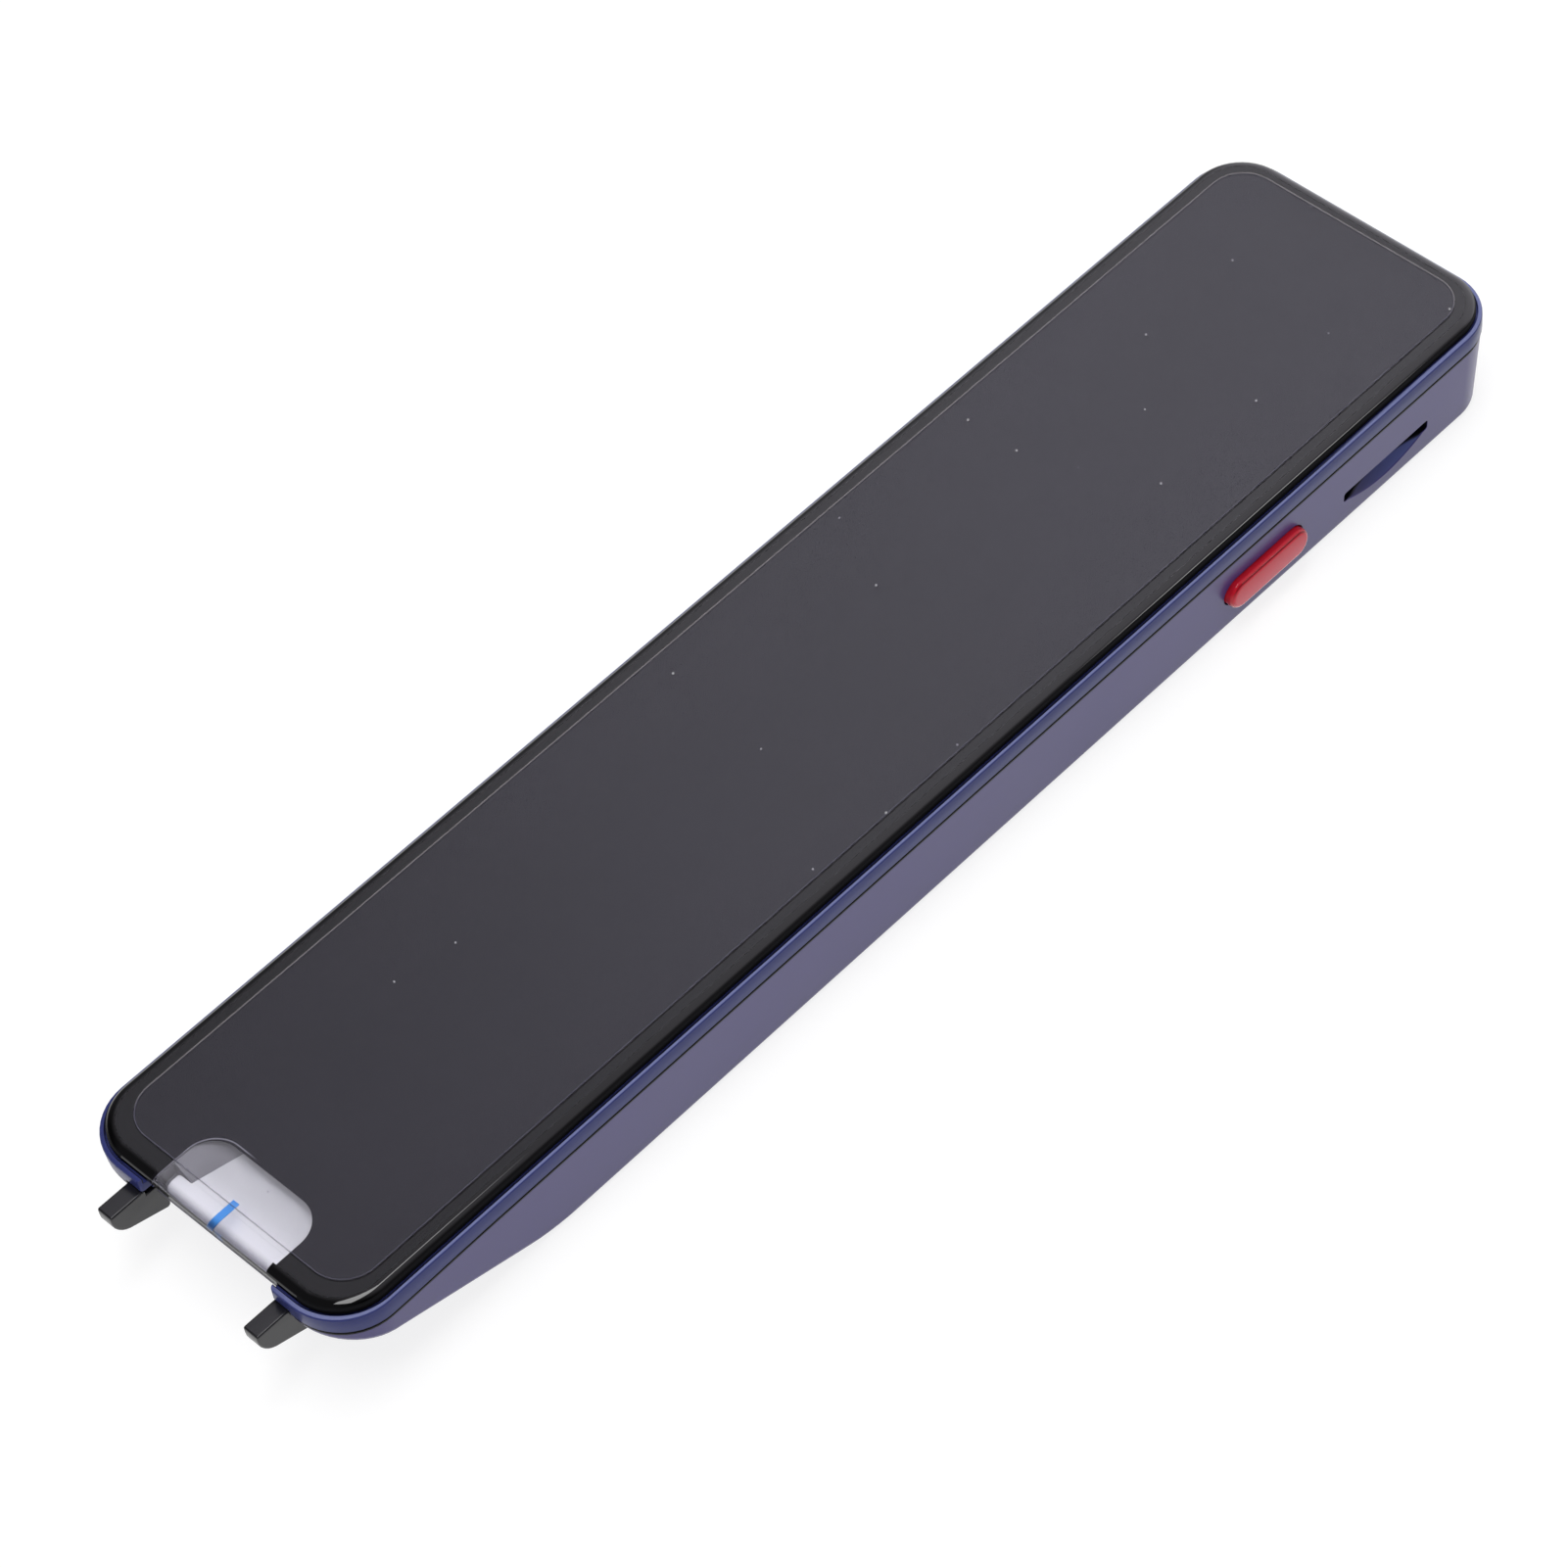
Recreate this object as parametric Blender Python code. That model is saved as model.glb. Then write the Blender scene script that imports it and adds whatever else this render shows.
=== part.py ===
"""Scanning pen: a flat bar with a screen on top and a scanning nose at its -Y end.

Metres, +Z up, the screen facing up and the pen lying on its belly. The origin is on the
belly's plane, midway along and across the body; +X is the side with the red button.
"""
import bpy
import bmesh
from math import cos, pi, radians, sin, sqrt, tan
from mathutils import Matrix, Vector

# Whole body
BODY_LENGTH = 0.1554
BODY_WIDTH = 0.0346
BODY_HEIGHT = 0.0130
NOSE_CORNER_RADIUS = 0.0060
NOSE_TUCK = 0.00015
TAIL_CORNER_RADIUS = 0.0058
CORNER_STEPS = 12

# Fits shared by all the pieces
FIT_GAP = 0.0003
THIN_GAP = 0.00005
CUT_OVERRUN = 0.0010
SMOOTH_LIMIT = radians(35)

# Lower housing: drafted sides, rounded belly edge, sloping nose
HOUSING_WALL = 0.0013
HOUSING_FLOOR = 0.0012
HOUSING_STEP = 0.00008
DRAFT_RATE = 0.081
BELLY_EDGE_RADIUS = 0.0009
BELLY_EDGE_STEPS = 4
NOSE_DEPTH = 0.0046
NOSE_ANGLE = radians(18.85)
NOSE_BLEND_RADIUS = 0.0180
NOSE_BLEND_STEPS = 5
CAVITY_NOSE_SETBACK = 0.0032

# Mouth in the nose, with a slot for each scanning foot
MOUTH_INSET = 0.0065
MOUTH_DEPTH = 0.0037
FOOT_SLOT_CLEARANCE = 0.0003
FOOT_SLOT_DEPTH = 0.0063

# Seam between the housing and the trim frame, dipping towards the nose
SEAM_DEPTH = 0.0030
SEAM_GAP = 0.0003
SEAM_DIP = 0.0002
SEAM_DIP_START = 0.0182
SEAM_DIP_END = 0.0062

# Trim frame: a ring open at the nose, with a thin rounded lip round the glass
LIP_DEPTH = 0.00105
LIP_SIDE_WIDTH = 0.0002
LIP_NOSE_WIDTH = 0.0003
LIP_ROUND_DEPTH = 0.0003
LIP_ROUND_STEPS = 5
LIP_LAND = 0.0002
LEDGE_DEPTH = 0.0017
LEDGE_SIDE_WIDTH = 0.0020
LEDGE_NOSE_WIDTH = 0.0026
NOSE_GAP_INSET = 0.0089
NOSE_GAP_CORNER = 0.0005
NOSE_GAP_CORNER_STEPS = 5
FOOT_NOTCH_DEPTH = 0.0013
FOOT_NOTCH_CLEARANCE = 0.00018
MIC_ACROSS = 0.0004
MIC_NOTCH_WIDTH = 0.0013
MIC_NOTCH_HEIGHT = 0.0005
MIC_NOTCH_DEPTH = 0.0018
MIC_NOTCH_REACH = 0.0003
MIC_BORE_RADIUS = 0.00025
MIC_BORE_DEPTH = 0.0021

# Cover glass and what is laid on and under it
GLASS_THICKNESS = 0.0011
GLASS_SIDE_INSET = 0.0006
GLASS_NOSE_INSET = 0.0007
GLASS_EDGE_WIDTH = 0.00095
GLASS_NOSE_EDGE_WIDTH = 0.0012
GLASS_EDGE_HEIGHT = 0.0010
GLASS_EDGE_STEPS = 6
FILM_THICKNESS = 0.00012
FILM_SIDE_MARGIN = 0.0026
FILM_NOSE_MARGIN = 0.0033
FILM_TAIL_MARGIN = 0.0023
FILM_CORNER_RADIUS = 0.0038
PRINT_THICKNESS = 0.0001
PRINT_INSET = 0.0009
WINDOW_INSET = 0.00987
WINDOW_DEPTH = 0.0080
WINDOW_CORNER_RADIUS = 0.0032
GASKET_INSET = 0.0010
GASKET_WIDTH = 0.0009
GASKET_NOSE_INSET = 0.0014
MARK_WIDTH = 0.00075
MARK_LENGTH = 0.0031
MARK_SETBACK = 0.0010

# Display
SCREEN_SIDE_INSET = 0.0035
SCREEN_NOSE_SETBACK = 0.0121
SCREEN_TAIL_SETBACK = 0.0045
SCREEN_CORNER_RADIUS = 0.0020
SCREEN_THICKNESS = 0.0009
TRAY_THICKNESS = 0.0012
TRAY_MARGIN = 0.0003

# Light chamber and reflector under the window
CHAMBER_INSET = 0.0096
CHAMBER_WALL = 0.0003
CHAMBER_DEPTH = 0.0030
CHAMBER_NOSE_SETBACK = 0.0012
CHAMBER_LENGTH = 0.0083
CHAMBER_BLEND = 0.0001
REFLECTOR_DEPTH = 0.0024
REFLECTOR_THICKNESS = 0.00025
REFLECTOR_FAR_SETBACK = 0.0086
REFLECTOR_FAR_INSET = 0.00358
REFLECTOR_NEAR_INSET = 0.00237
REFLECTOR_RIGHT_INSET = 0.00055
REFLECTOR_CLEARANCE = 0.0001
TAB_FAR_SETBACK = 0.00334
TAB_NEAR_SETBACK = 0.00210
TAB_INSET = 0.0008
TAB_CORNER = 0.0003
TAB_CORNER_STEPS = 3
CURVE_START_INSET = 0.0023
CURVE_END_INSET = 0.0057
CURVE_SETBACK = 0.00125
CURVE_STEPS = 8

# Scanning feet, which slide back into the nose and work the scan switch
FOOT_INSET = 0.0069
FOOT_WIDTH = 0.0019
FOOT_REACH = 0.00355
FOOT_TOP_SETBACK = 0.0005
FOOT_TOP_DEPTH = 0.00285
FOOT_CHIN_DEPTH = 0.0036
FOOT_CHIN_RADIUS = 0.0026
FOOT_CHIN_SWEEP = radians(68)
FOOT_CHIN_STEPS = 6
FOOT_HEEL_SETBACK = 0.0022
FOOT_HEEL_DEPTH = 0.0074
FOOT_HEEL_RADIUS = 0.0004
FOOT_HEEL_STEPS = 4
FOOT_EDGE = 0.0002
FOOT_EDGE_SEGMENTS = 2
FOOT_TRAVEL = 0.0006
ARM_DEPTH = 0.00135
BRIDGE_SETBACK = 0.0170
BRIDGE_LENGTH = 0.0017
BRIDGE_DEPTH = 0.0021

# Camera looking out between the feet, its bracket and its lights
LENS_RADIUS = 0.0010
LENS_LENGTH = 0.0034
LENS_SETBACK = 0.0083
LENS_DEPTH = 0.0050
LENS_RIM = 0.0002
LENS_CUP_DEPTH = 0.0004
ROUND_STEPS = 20
BRACKET_SETBACK = 0.0112
BRACKET_FOOT_GAP = 0.0007
BRACKET_DEPTH = 0.0066
BRACKET_THICKNESS = 0.0006
CAMERA_WIDTH = 0.0060
CAMERA_LENGTH = 0.0026
CAMERA_DEPTH = 0.0024
CAMERA_BOARD_INSET = 0.0028
CAMERA_BOARD_THICKNESS = 0.0006
LED_WIDTH = 0.0016
LED_HEIGHT = 0.0008
LED_THICKNESS = 0.0005
LED_INSET = 0.0028

# Inner chassis and the screws that hold it
CHASSIS_DEPTH = 0.0047
CHASSIS_THICKNESS = 0.0010
CHASSIS_NOSE_SETBACK = 0.0245
CHASSIS_INSET = 0.0019
BOSS_RADIUS = 0.0019
BOSS_INSET = 0.0042
BOSS_NOSE_SETBACK = 0.0270
BOSS_TAIL_SETBACK = 0.0070
SCREW_RADIUS = 0.0007
SCREW_HEAD_RADIUS = 0.0013
SCREW_HEAD_HEIGHT = 0.0006
SCREW_LENGTH = 0.0046
SCREW_CLEARANCE = 0.0001

# Main board and what is on it
BOARD_DEPTH = 0.0068
BOARD_THICKNESS = 0.0008
BOARD_INSET = 0.0069
BOARD_NOSE_SETBACK = 0.0200
BOARD_LENGTH = 0.0490
POST_RADIUS = 0.0012
POST_SIDE_INSET = 0.0024
POST_INSET = 0.0060
SHIELD_WIDTH = 0.0150
SHIELD_LENGTH = 0.0140
SHIELD_HEIGHT = 0.0009
SHIELD_SETBACK = 0.0140
MEMORY_WIDTH = 0.0100
MEMORY_LENGTH = 0.0080
MEMORY_HEIGHT = 0.0008
MEMORY_SETBACK = 0.0340
FLEX_HALF_WIDTH = 0.0040
FLEX_THICKNESS = 0.00015
FLEX_FOOT = 0.0030
FLEX_SETBACK = 0.0300
FLEX_SLOT_GAP = 0.0006

# Scan switch and its plunger
SCAN_SWITCH_WIDTH = 0.0060
SCAN_SWITCH_LENGTH = 0.0034
SCAN_SWITCH_HEIGHT = 0.0014
SCAN_SWITCH_INSET = 0.0004
SCAN_PLUNGER_RADIUS = 0.0004
SCAN_PLUNGER_DEPTH = 0.0010
SCAN_BORE_DEPTH = 0.0023
PLUNGER_CLEARANCE = 0.0001

# Side button with its switch
BUTTON_TAIL_SETBACK = 0.0355
BUTTON_LEVEL_SHARE = 0.51
BUTTON_LENGTH = 0.0111
BUTTON_WIDTH = 0.0033
BUTTON_PROUD = 0.0010
BUTTON_EDGE = 0.0005
BUTTON_EDGE_STEPS = 4
BUTTON_GAP = 0.00015
BUTTON_FLANGE = 0.0006
BUTTON_FLANGE_THICKNESS = 0.0005
BUTTON_TRAVEL = 0.0005
STADIUM_STEPS = 10
SIDE_SWITCH_SIZE = 0.0034
SIDE_SWITCH_DEPTH = 0.0018
SIDE_SWITCH_INSET = 0.0055
SIDE_PLUNGER_RADIUS = 0.0008
SIDE_PLUNGER_DEPTH = 0.0005
SIDE_BORE_DEPTH = 0.0013
SWITCH_BOARD_THICKNESS = 0.0006
SWITCH_BOARD_LENGTH = 0.0090
SWITCH_BOARD_RISE = 0.0020

# Cord slot in the side: a scallop leads into a closed pocket with a post to tie to
SLOT_TAIL_SETBACK = 0.01750
SLOT_LEVEL_SHARE = 0.415
SLOT_LENGTH = 0.0124
SLOT_WIDTH = 0.0013
SLOT_DEPTH = 0.0032
SLOT_CORNER = 0.0003
SLOT_CORNER_STEPS = 3
SCALLOP_DEPTH = 0.00106
SCALLOP_HEIGHT = 0.00165
SCALLOP_STEPS = 14
CORD_POST_DEPTH = 0.0020
CORD_POST_RADIUS = 0.00055
POST_BITE = 0.0003
POCKET_WALL = 0.0008
POCKET_BITE = 0.0007

# Battery
BATTERY_LEFT_INSET = 0.0031
BATTERY_RIGHT_INSET = 0.0075
BATTERY_ROOM = 0.0017
BATTERY_SETBACK = 0.0710
BATTERY_TAIL_GAP = 0.0024
BATTERY_CORNER = 0.0020
PAD_THICKNESS = 0.0005
PAD_MARGIN = 0.0020

# Tail board, charging port and microphone
TAIL_BOARD_SETBACK = 0.0025
TAIL_BOARD_LENGTH = 0.0087
TAIL_BOARD_INSET = 0.0073
TAIL_BOARD_LEVEL = 0.0018
TAIL_POST_INSET = 0.0030
TAIL_POST_SETBACK = 0.0100
PORT_WIDTH = 0.0089
PORT_HEIGHT = 0.0032
PORT_LENGTH = 0.0073
PORT_SETBACK = 0.0011
PORT_WALL = 0.0003
PORT_BACK = 0.0012
PORT_CLEARANCE = 0.0002
TONGUE_WIDTH = 0.0067
TONGUE_THICKNESS = 0.0007
TONGUE_SETBACK = 0.0008
MIC_WIDTH = 0.0037
MIC_LENGTH = 0.0014
MIC_HEIGHT = 0.0013

# Speaker firing through the belly
SPEAKER_CENTRE_ACROSS = -0.0030
SPEAKER_TAIL_SETBACK = 0.0185
SPEAKER_WIDTH = 0.0150
SPEAKER_LENGTH = 0.0110
SPEAKER_THICKNESS = 0.0033
SPEAKER_CORNER = 0.0020
SEAL_THICKNESS = 0.0004
SEAL_WIDTH = 0.0012
GRILLE_COUNT = 6
GRILLE_PITCH = 0.0018
GRILLE_SLOT_LENGTH = 0.0050
GRILLE_SLOT_WIDTH = 0.0008

# Places worked out from the sizes above
HALF_WIDTH = BODY_WIDTH / 2
BODY_FRONT = -BODY_LENGTH / 2
BODY_BACK = BODY_LENGTH / 2
NOSE_RISE = BODY_HEIGHT - NOSE_DEPTH
NOSE_RUN = NOSE_RISE / tan(NOSE_ANGLE)
NOSE_BLEND_REACH = NOSE_BLEND_RADIUS * tan(NOSE_ANGLE / 2)
SEAM_HEIGHT = BODY_HEIGHT - SEAM_DEPTH
LIP_TOP = BODY_HEIGHT - LIP_DEPTH
LEDGE_HEIGHT = BODY_HEIGHT - LEDGE_DEPTH
NOSE_GAP_HALF_WIDTH = HALF_WIDTH - NOSE_GAP_INSET
GLASS_BOTTOM = BODY_HEIGHT - GLASS_THICKNESS
PRINT_TOP = GLASS_BOTTOM - THIN_GAP
PRINT_BOTTOM = PRINT_TOP - PRINT_THICKNESS
WINDOW_HALF_WIDTH = HALF_WIDTH - WINDOW_INSET
SCREEN_TOP = PRINT_BOTTOM - THIN_GAP
SCREEN_BOTTOM = SCREEN_TOP - SCREEN_THICKNESS
TRAY_TOP = SCREEN_BOTTOM - THIN_GAP
TRAY_BOTTOM = TRAY_TOP - TRAY_THICKNESS
CHAMBER_HALF_WIDTH = HALF_WIDTH - CHAMBER_INSET
CHAMBER_FRONT = BODY_FRONT + CHAMBER_NOSE_SETBACK
CHAMBER_BACK = CHAMBER_FRONT + CHAMBER_LENGTH
CHAMBER_BOTTOM = BODY_HEIGHT - CHAMBER_DEPTH
CHAMBER_FLOOR_TOP = CHAMBER_BOTTOM + CHAMBER_WALL
REFLECTOR_TOP = BODY_HEIGHT - REFLECTOR_DEPTH
REFLECTOR_NEAR_LEFT = CHAMBER_HALF_WIDTH - REFLECTOR_NEAR_INSET
REFLECTOR_FAR_LEFT = CHAMBER_HALF_WIDTH - REFLECTOR_FAR_INSET
CHASSIS_LEVEL = BODY_HEIGHT - CHASSIS_DEPTH
CHASSIS_TOP = CHASSIS_LEVEL + CHASSIS_THICKNESS
BOARD_LEVEL = BODY_HEIGHT - BOARD_DEPTH
BOARD_TOP = BOARD_LEVEL + BOARD_THICKNESS
BOARD_FRONT = BODY_FRONT + BOARD_NOSE_SETBACK
BOARD_HALF_WIDTH = HALF_WIDTH - BOARD_INSET
FOOT_OUTER = HALF_WIDTH - FOOT_INSET
FOOT_INNER = FOOT_OUTER - FOOT_WIDTH
FOOT_TOP = BODY_HEIGHT - FOOT_TOP_DEPTH
ARM_TOP = SEAM_HEIGHT - SEAM_DIP - FIT_GAP
BRIDGE_FRONT = BODY_FRONT + BRIDGE_SETBACK
BRIDGE_BACK = BRIDGE_FRONT + BRIDGE_LENGTH
SCAN_SWITCH_FRONT = BOARD_FRONT + SCAN_SWITCH_INSET
SCAN_PLUNGER_LEVEL = BOARD_TOP + THIN_GAP + SCAN_SWITCH_HEIGHT / 2
LENS_LEVEL = BODY_HEIGHT - LENS_DEPTH
BRACKET_HALF_WIDTH = FOOT_INNER - BRACKET_FOOT_GAP
BRACKET_FRONT = BODY_FRONT + BRACKET_SETBACK
CAMERA_FRONT = BRACKET_FRONT + BRACKET_THICKNESS + THIN_GAP
CAMERA_BACK = CAMERA_FRONT + CAMERA_LENGTH
BUTTON_ALONG = BODY_BACK - BUTTON_TAIL_SETBACK
BUTTON_LEVEL = SEAM_HEIGHT * BUTTON_LEVEL_SHARE
SIDE_SWITCH_BACK = HALF_WIDTH - SIDE_SWITCH_INSET
SIDE_SWITCH_FACE = SIDE_SWITCH_BACK + SIDE_SWITCH_DEPTH
SLOT_ALONG = BODY_BACK - SLOT_TAIL_SETBACK
SLOT_LEVEL = SEAM_HEIGHT * SLOT_LEVEL_SHARE
TAIL_BOARD_HALF_WIDTH = HALF_WIDTH - TAIL_BOARD_INSET
PORT_LEVEL = TAIL_BOARD_LEVEL + BOARD_THICKNESS + THIN_GAP + PORT_HEIGHT / 2
PORT_FRONT = BODY_BACK - PORT_SETBACK
SPEAKER_CENTRE_ALONG = BODY_BACK - SPEAKER_TAIL_SETBACK
SPEAKER_BOTTOM = HOUSING_FLOOR + SEAL_THICKNESS + THIN_GAP + THIN_GAP
BATTERY_BOTTOM = HOUSING_FLOOR + PAD_THICKNESS + THIN_GAP + THIN_GAP
BATTERY_FRONT = BODY_FRONT + BATTERY_SETBACK
BATTERY_BACK = SPEAKER_CENTRE_ALONG - SPEAKER_LENGTH / 2 - BATTERY_TAIL_GAP


def housing_inset(level, wall=0.0):
    """How far the housing's drafted side is inside the body's outline at a height."""
    return HOUSING_STEP + DRAFT_RATE * (SEAM_HEIGHT - level) + wall


def belly_height(along):
    """Height of the underside: flat along the body, then rising to the nose."""
    ahead = BODY_FRONT + NOSE_RUN - along
    if ahead <= -NOSE_BLEND_REACH:
        return 0.0
    if ahead >= NOSE_BLEND_REACH * cos(NOSE_ANGLE):
        return ahead * tan(NOSE_ANGLE)
    return NOSE_BLEND_RADIUS - sqrt(NOSE_BLEND_RADIUS ** 2 - (ahead + NOSE_BLEND_REACH) ** 2)


def seam_height(along):
    """Height of the trim frame's lower edge, which dips towards the nose."""
    start = BODY_FRONT + SEAM_DIP_START
    end = BODY_FRONT + SEAM_DIP_END
    dip_share = min(max((start - along) / (start - end), 0.0), 1.0)
    return SEAM_HEIGHT - SEAM_DIP * dip_share


def straight_stations():
    """Places along the body's straight sides where its height rules change."""
    knee = BODY_FRONT + NOSE_RUN + NOSE_BLEND_REACH
    places = [knee - NOSE_BLEND_RADIUS * sin(NOSE_ANGLE * step / NOSE_BLEND_STEPS)
              for step in range(NOSE_BLEND_STEPS + 1)]
    places.append(BODY_FRONT + SEAM_DIP_START)
    places.append(BODY_FRONT + SEAM_DIP_END)
    return sorted(places)


def body_ring(level, side=0.0, nose=0.0, tail=0.0):
    """One closed outline of the body, inset at its sides, nose and tail.

    The level, and an inset, may be a rule: the level's for a place along the body, an
    inset's for a height.
    """
    stations = []
    centre = (HALF_WIDTH - NOSE_CORNER_RADIUS, BODY_FRONT + NOSE_CORNER_RADIUS)
    for step in range(CORNER_STEPS + 1):
        angle = pi / 2 * step / CORNER_STEPS
        stations.append((*centre, NOSE_CORNER_RADIUS, sin(angle), -cos(angle)))
    for along in straight_stations():
        stations.append((centre[0], along, NOSE_CORNER_RADIUS, 1.0, 0.0))
    centre = (HALF_WIDTH - TAIL_CORNER_RADIUS, BODY_BACK - TAIL_CORNER_RADIUS)
    for step in range(CORNER_STEPS + 1):
        angle = pi / 2 * step / CORNER_STEPS
        stations.append((*centre, TAIL_CORNER_RADIUS, cos(angle), sin(angle)))
    right = []
    for x, y, radius, toward_x, toward_y in stations:
        height = level(y + radius * toward_y) if callable(level) else level
        end = nose if toward_y < 0 else tail
        across = side(height) if callable(side) else side
        along = end(height) if callable(end) else end
        right.append(Vector((x + (radius - across) * toward_x,
                             y + (radius - along) * toward_y, height)))
    left = [Vector((-point.x, point.y, point.z)) for point in reversed(right)]
    return right + left


def housing_ring(level, wall=0.0):
    """A ring of the housing's drafted side, thinned by a wall and tucked in at the nose."""
    def rule(height):
        return housing_inset(height, wall)

    def nose_rule(height):
        return housing_inset(height, wall) + NOSE_TUCK
    return body_ring(level, rule, nose_rule, rule)


def round_rectangle(x, y, radius, steps=CORNER_STEPS):
    """Points of a rectangle with round corners."""
    points = []
    corners = ((1, 0, -1, 1, -1), (1, 1, -1, -1, 0), (0, 1, 1, -1, 1), (0, 0, 1, 1, 2))
    for i, j, inward_x, inward_y, quarter in corners:
        for step in range(steps + 1):
            angle = pi / 2 * (quarter + step / steps)
            points.append((x[i] + radius * (inward_x + cos(angle)),
                           y[j] + radius * (inward_y + sin(angle))))
    return points


def circle(centre, radius):
    """Points of a circle."""
    return [(centre[0] + radius * cos(2 * pi * step / ROUND_STEPS),
             centre[1] + radius * sin(2 * pi * step / ROUND_STEPS))
            for step in range(ROUND_STEPS)]


def stadium(centre, length, width):
    """Points of a stadium whose long way is the first coordinate."""
    radius = width / 2
    points = []
    for side in (1, -1):
        for step in range(STADIUM_STEPS + 1):
            angle = pi * step / STADIUM_STEPS - side * pi / 2
            points.append((centre[0] + side * (length / 2 - radius) + radius * cos(angle),
                           centre[1] + radius * sin(angle)))
    return points


def finish(name, colour, roughness, metallic=0.0):
    """A plain Principled material."""
    made = bpy.data.materials.new(name)
    made.use_nodes = True
    shader = made.node_tree.nodes["Principled BSDF"]
    shader.inputs["Base Color"].default_value = (*colour, 1.0)
    shader.inputs["Roughness"].default_value = roughness
    shader.inputs["Metallic"].default_value = metallic
    return made


def add_object(name, shape, look):
    """Turn a bmesh into a named object with outward faces; without a look it is a guide."""
    bmesh.ops.recalc_face_normals(shape, faces=shape.faces)
    mesh = bpy.data.meshes.new(name)
    for face in shape.faces:
        face.smooth = look is not None
    shape.to_mesh(mesh)
    shape.free()
    made = bpy.data.objects.new(name, mesh)
    bpy.context.scene.collection.objects.link(made)
    if look is None:
        made.hide_render = True
        made.display_type = "WIRE"
    else:
        mesh.set_sharp_from_angle(angle=SMOOTH_LIMIT)
        mesh.materials.append(look)
    return made


def skin_rings(shape, rings):
    """Add a row of equal rings to a bmesh, skinned from each to the next."""
    rows = [[shape.verts.new(point) for point in ring] for ring in rings]
    for lower, upper in zip(rows, rows[1:]):
        skin_pair(shape, lower, upper)
    return rows


def skin_pair(shape, lower, upper):
    """Skin the band between two rings of verts."""
    count = len(lower)
    for i in range(count):
        j = (i + 1) % count
        shape.faces.new((lower[i], lower[j], upper[j], upper[i]))


def loft(name, rings, look=None):
    """A solid skinned over a row of rings whose two ends are flat."""
    shape = bmesh.new()
    rows = skin_rings(shape, rings)
    shape.faces.new(rows[0])
    shape.faces.new(rows[-1])
    return add_object(name, shape, look)


def body_loft(name, rings, look=None):
    """A solid skinned over body rings, its ends closed with strips across the body."""
    shape = bmesh.new()
    rows = skin_rings(shape, rings)
    for row in (rows[0], rows[-1]):
        for i in range(len(row) // 2 - 1):
            shape.faces.new((row[i], row[i + 1], row[-i - 2], row[-i - 1]))
    return add_object(name, shape, look)


def hoop(name, rings, look=None):
    """A hoop skinned over rings that go once round its section."""
    shape = bmesh.new()
    rows = skin_rings(shape, rings)
    skin_pair(shape, rows[-1], rows[0])
    return add_object(name, shape, look)


def plate(name, outline, z, look=None):
    """A prism of a plan outline between two heights."""
    return loft(name, [[Vector((*point, level)) for point in outline] for level in z], look)


def side_plate(name, outline, x, look=None):
    """A prism of a side outline (y and z) between two places across."""
    return loft(name, [[Vector((place, *point)) for point in outline] for place in x], look)


def end_plate(name, outline, y, look=None):
    """A prism of an end outline (x and z) between two places along."""
    rings = [[Vector((point[0], place, point[1])) for point in outline] for place in y]
    return loft(name, rings, look)


def box(name, x, y, z, look=None):
    """A box between its lowest and highest x, y and z."""
    outline = ((x[0], y[0]), (x[1], y[0]), (x[1], y[1]), (x[0], y[1]))
    return plate(name, outline, z, look)


def centred(middle, size):
    """Both ends of a size about its middle."""
    return middle - size / 2, middle + size / 2


def combine(target, operation, others):
    """Add one exact Boolean step to the target for each of the others."""
    for other in others:
        step = target.modifiers.new(other.name, "BOOLEAN")
        step.operation = operation
        step.solver = "EXACT"
        step.object = other


def cut(target, *cutters):
    combine(target, "DIFFERENCE", cutters)


def fuse(target, *additions):
    combine(target, "UNION", additions)


def move_origin(made, place):
    """Put an object's origin at a place without moving its shape."""
    made.data.transform(Matrix.Translation(-Vector(place)))
    made.location = place


def boss_places():
    """Centres of the four screw bosses."""
    return [(side * (HALF_WIDTH - BOSS_INSET), along) for along in
            (BODY_FRONT + BOSS_NOSE_SETBACK, BODY_BACK - BOSS_TAIL_SETBACK)
            for side in (-1, 1)]


def post_places():
    """Centre and top of each post under the main board and the tail board."""
    places = []
    for along in (BOARD_FRONT + POST_INSET, BOARD_FRONT + BOARD_LENGTH - POST_INSET):
        for side in (-1, 1):
            places.append((side * (BOARD_HALF_WIDTH - POST_SIDE_INSET), along,
                           BOARD_LEVEL - FIT_GAP))
    for side in (-1, 1):
        places.append((side * (TAIL_BOARD_HALF_WIDTH - TAIL_POST_INSET),
                       BODY_BACK - TAIL_POST_SETBACK, TAIL_BOARD_LEVEL - FIT_GAP))
    return places


def build_lower_housing(look):
    """The moulded shell: drafted sides, rounded belly edge, sloping open nose."""
    rings = [housing_ring(lambda along: seam_height(along) - SEAM_GAP)]
    for step in range(BELLY_EDGE_STEPS + 1):
        angle = pi / 2 * step / BELLY_EDGE_STEPS
        wall = BELLY_EDGE_RADIUS * (1 - cos(angle))
        lift = BELLY_EDGE_RADIUS * (1 - sin(angle))
        rings.append(housing_ring(lambda along, lift=lift: belly_height(along) + lift, wall))
    housing = body_loft("lower_housing", rings, look)
    cut(housing, cavity_guide())
    fuse(housing, *post_guides(), pocket_guide())
    cut(housing, *mouth_guides(), button_hole_guide(), port_hole_guide(), slot_guide(),
        scallop_guide(), *grille_guides(), *screw_hole_guides())
    fuse(housing, cord_post_guide())
    return housing


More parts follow.
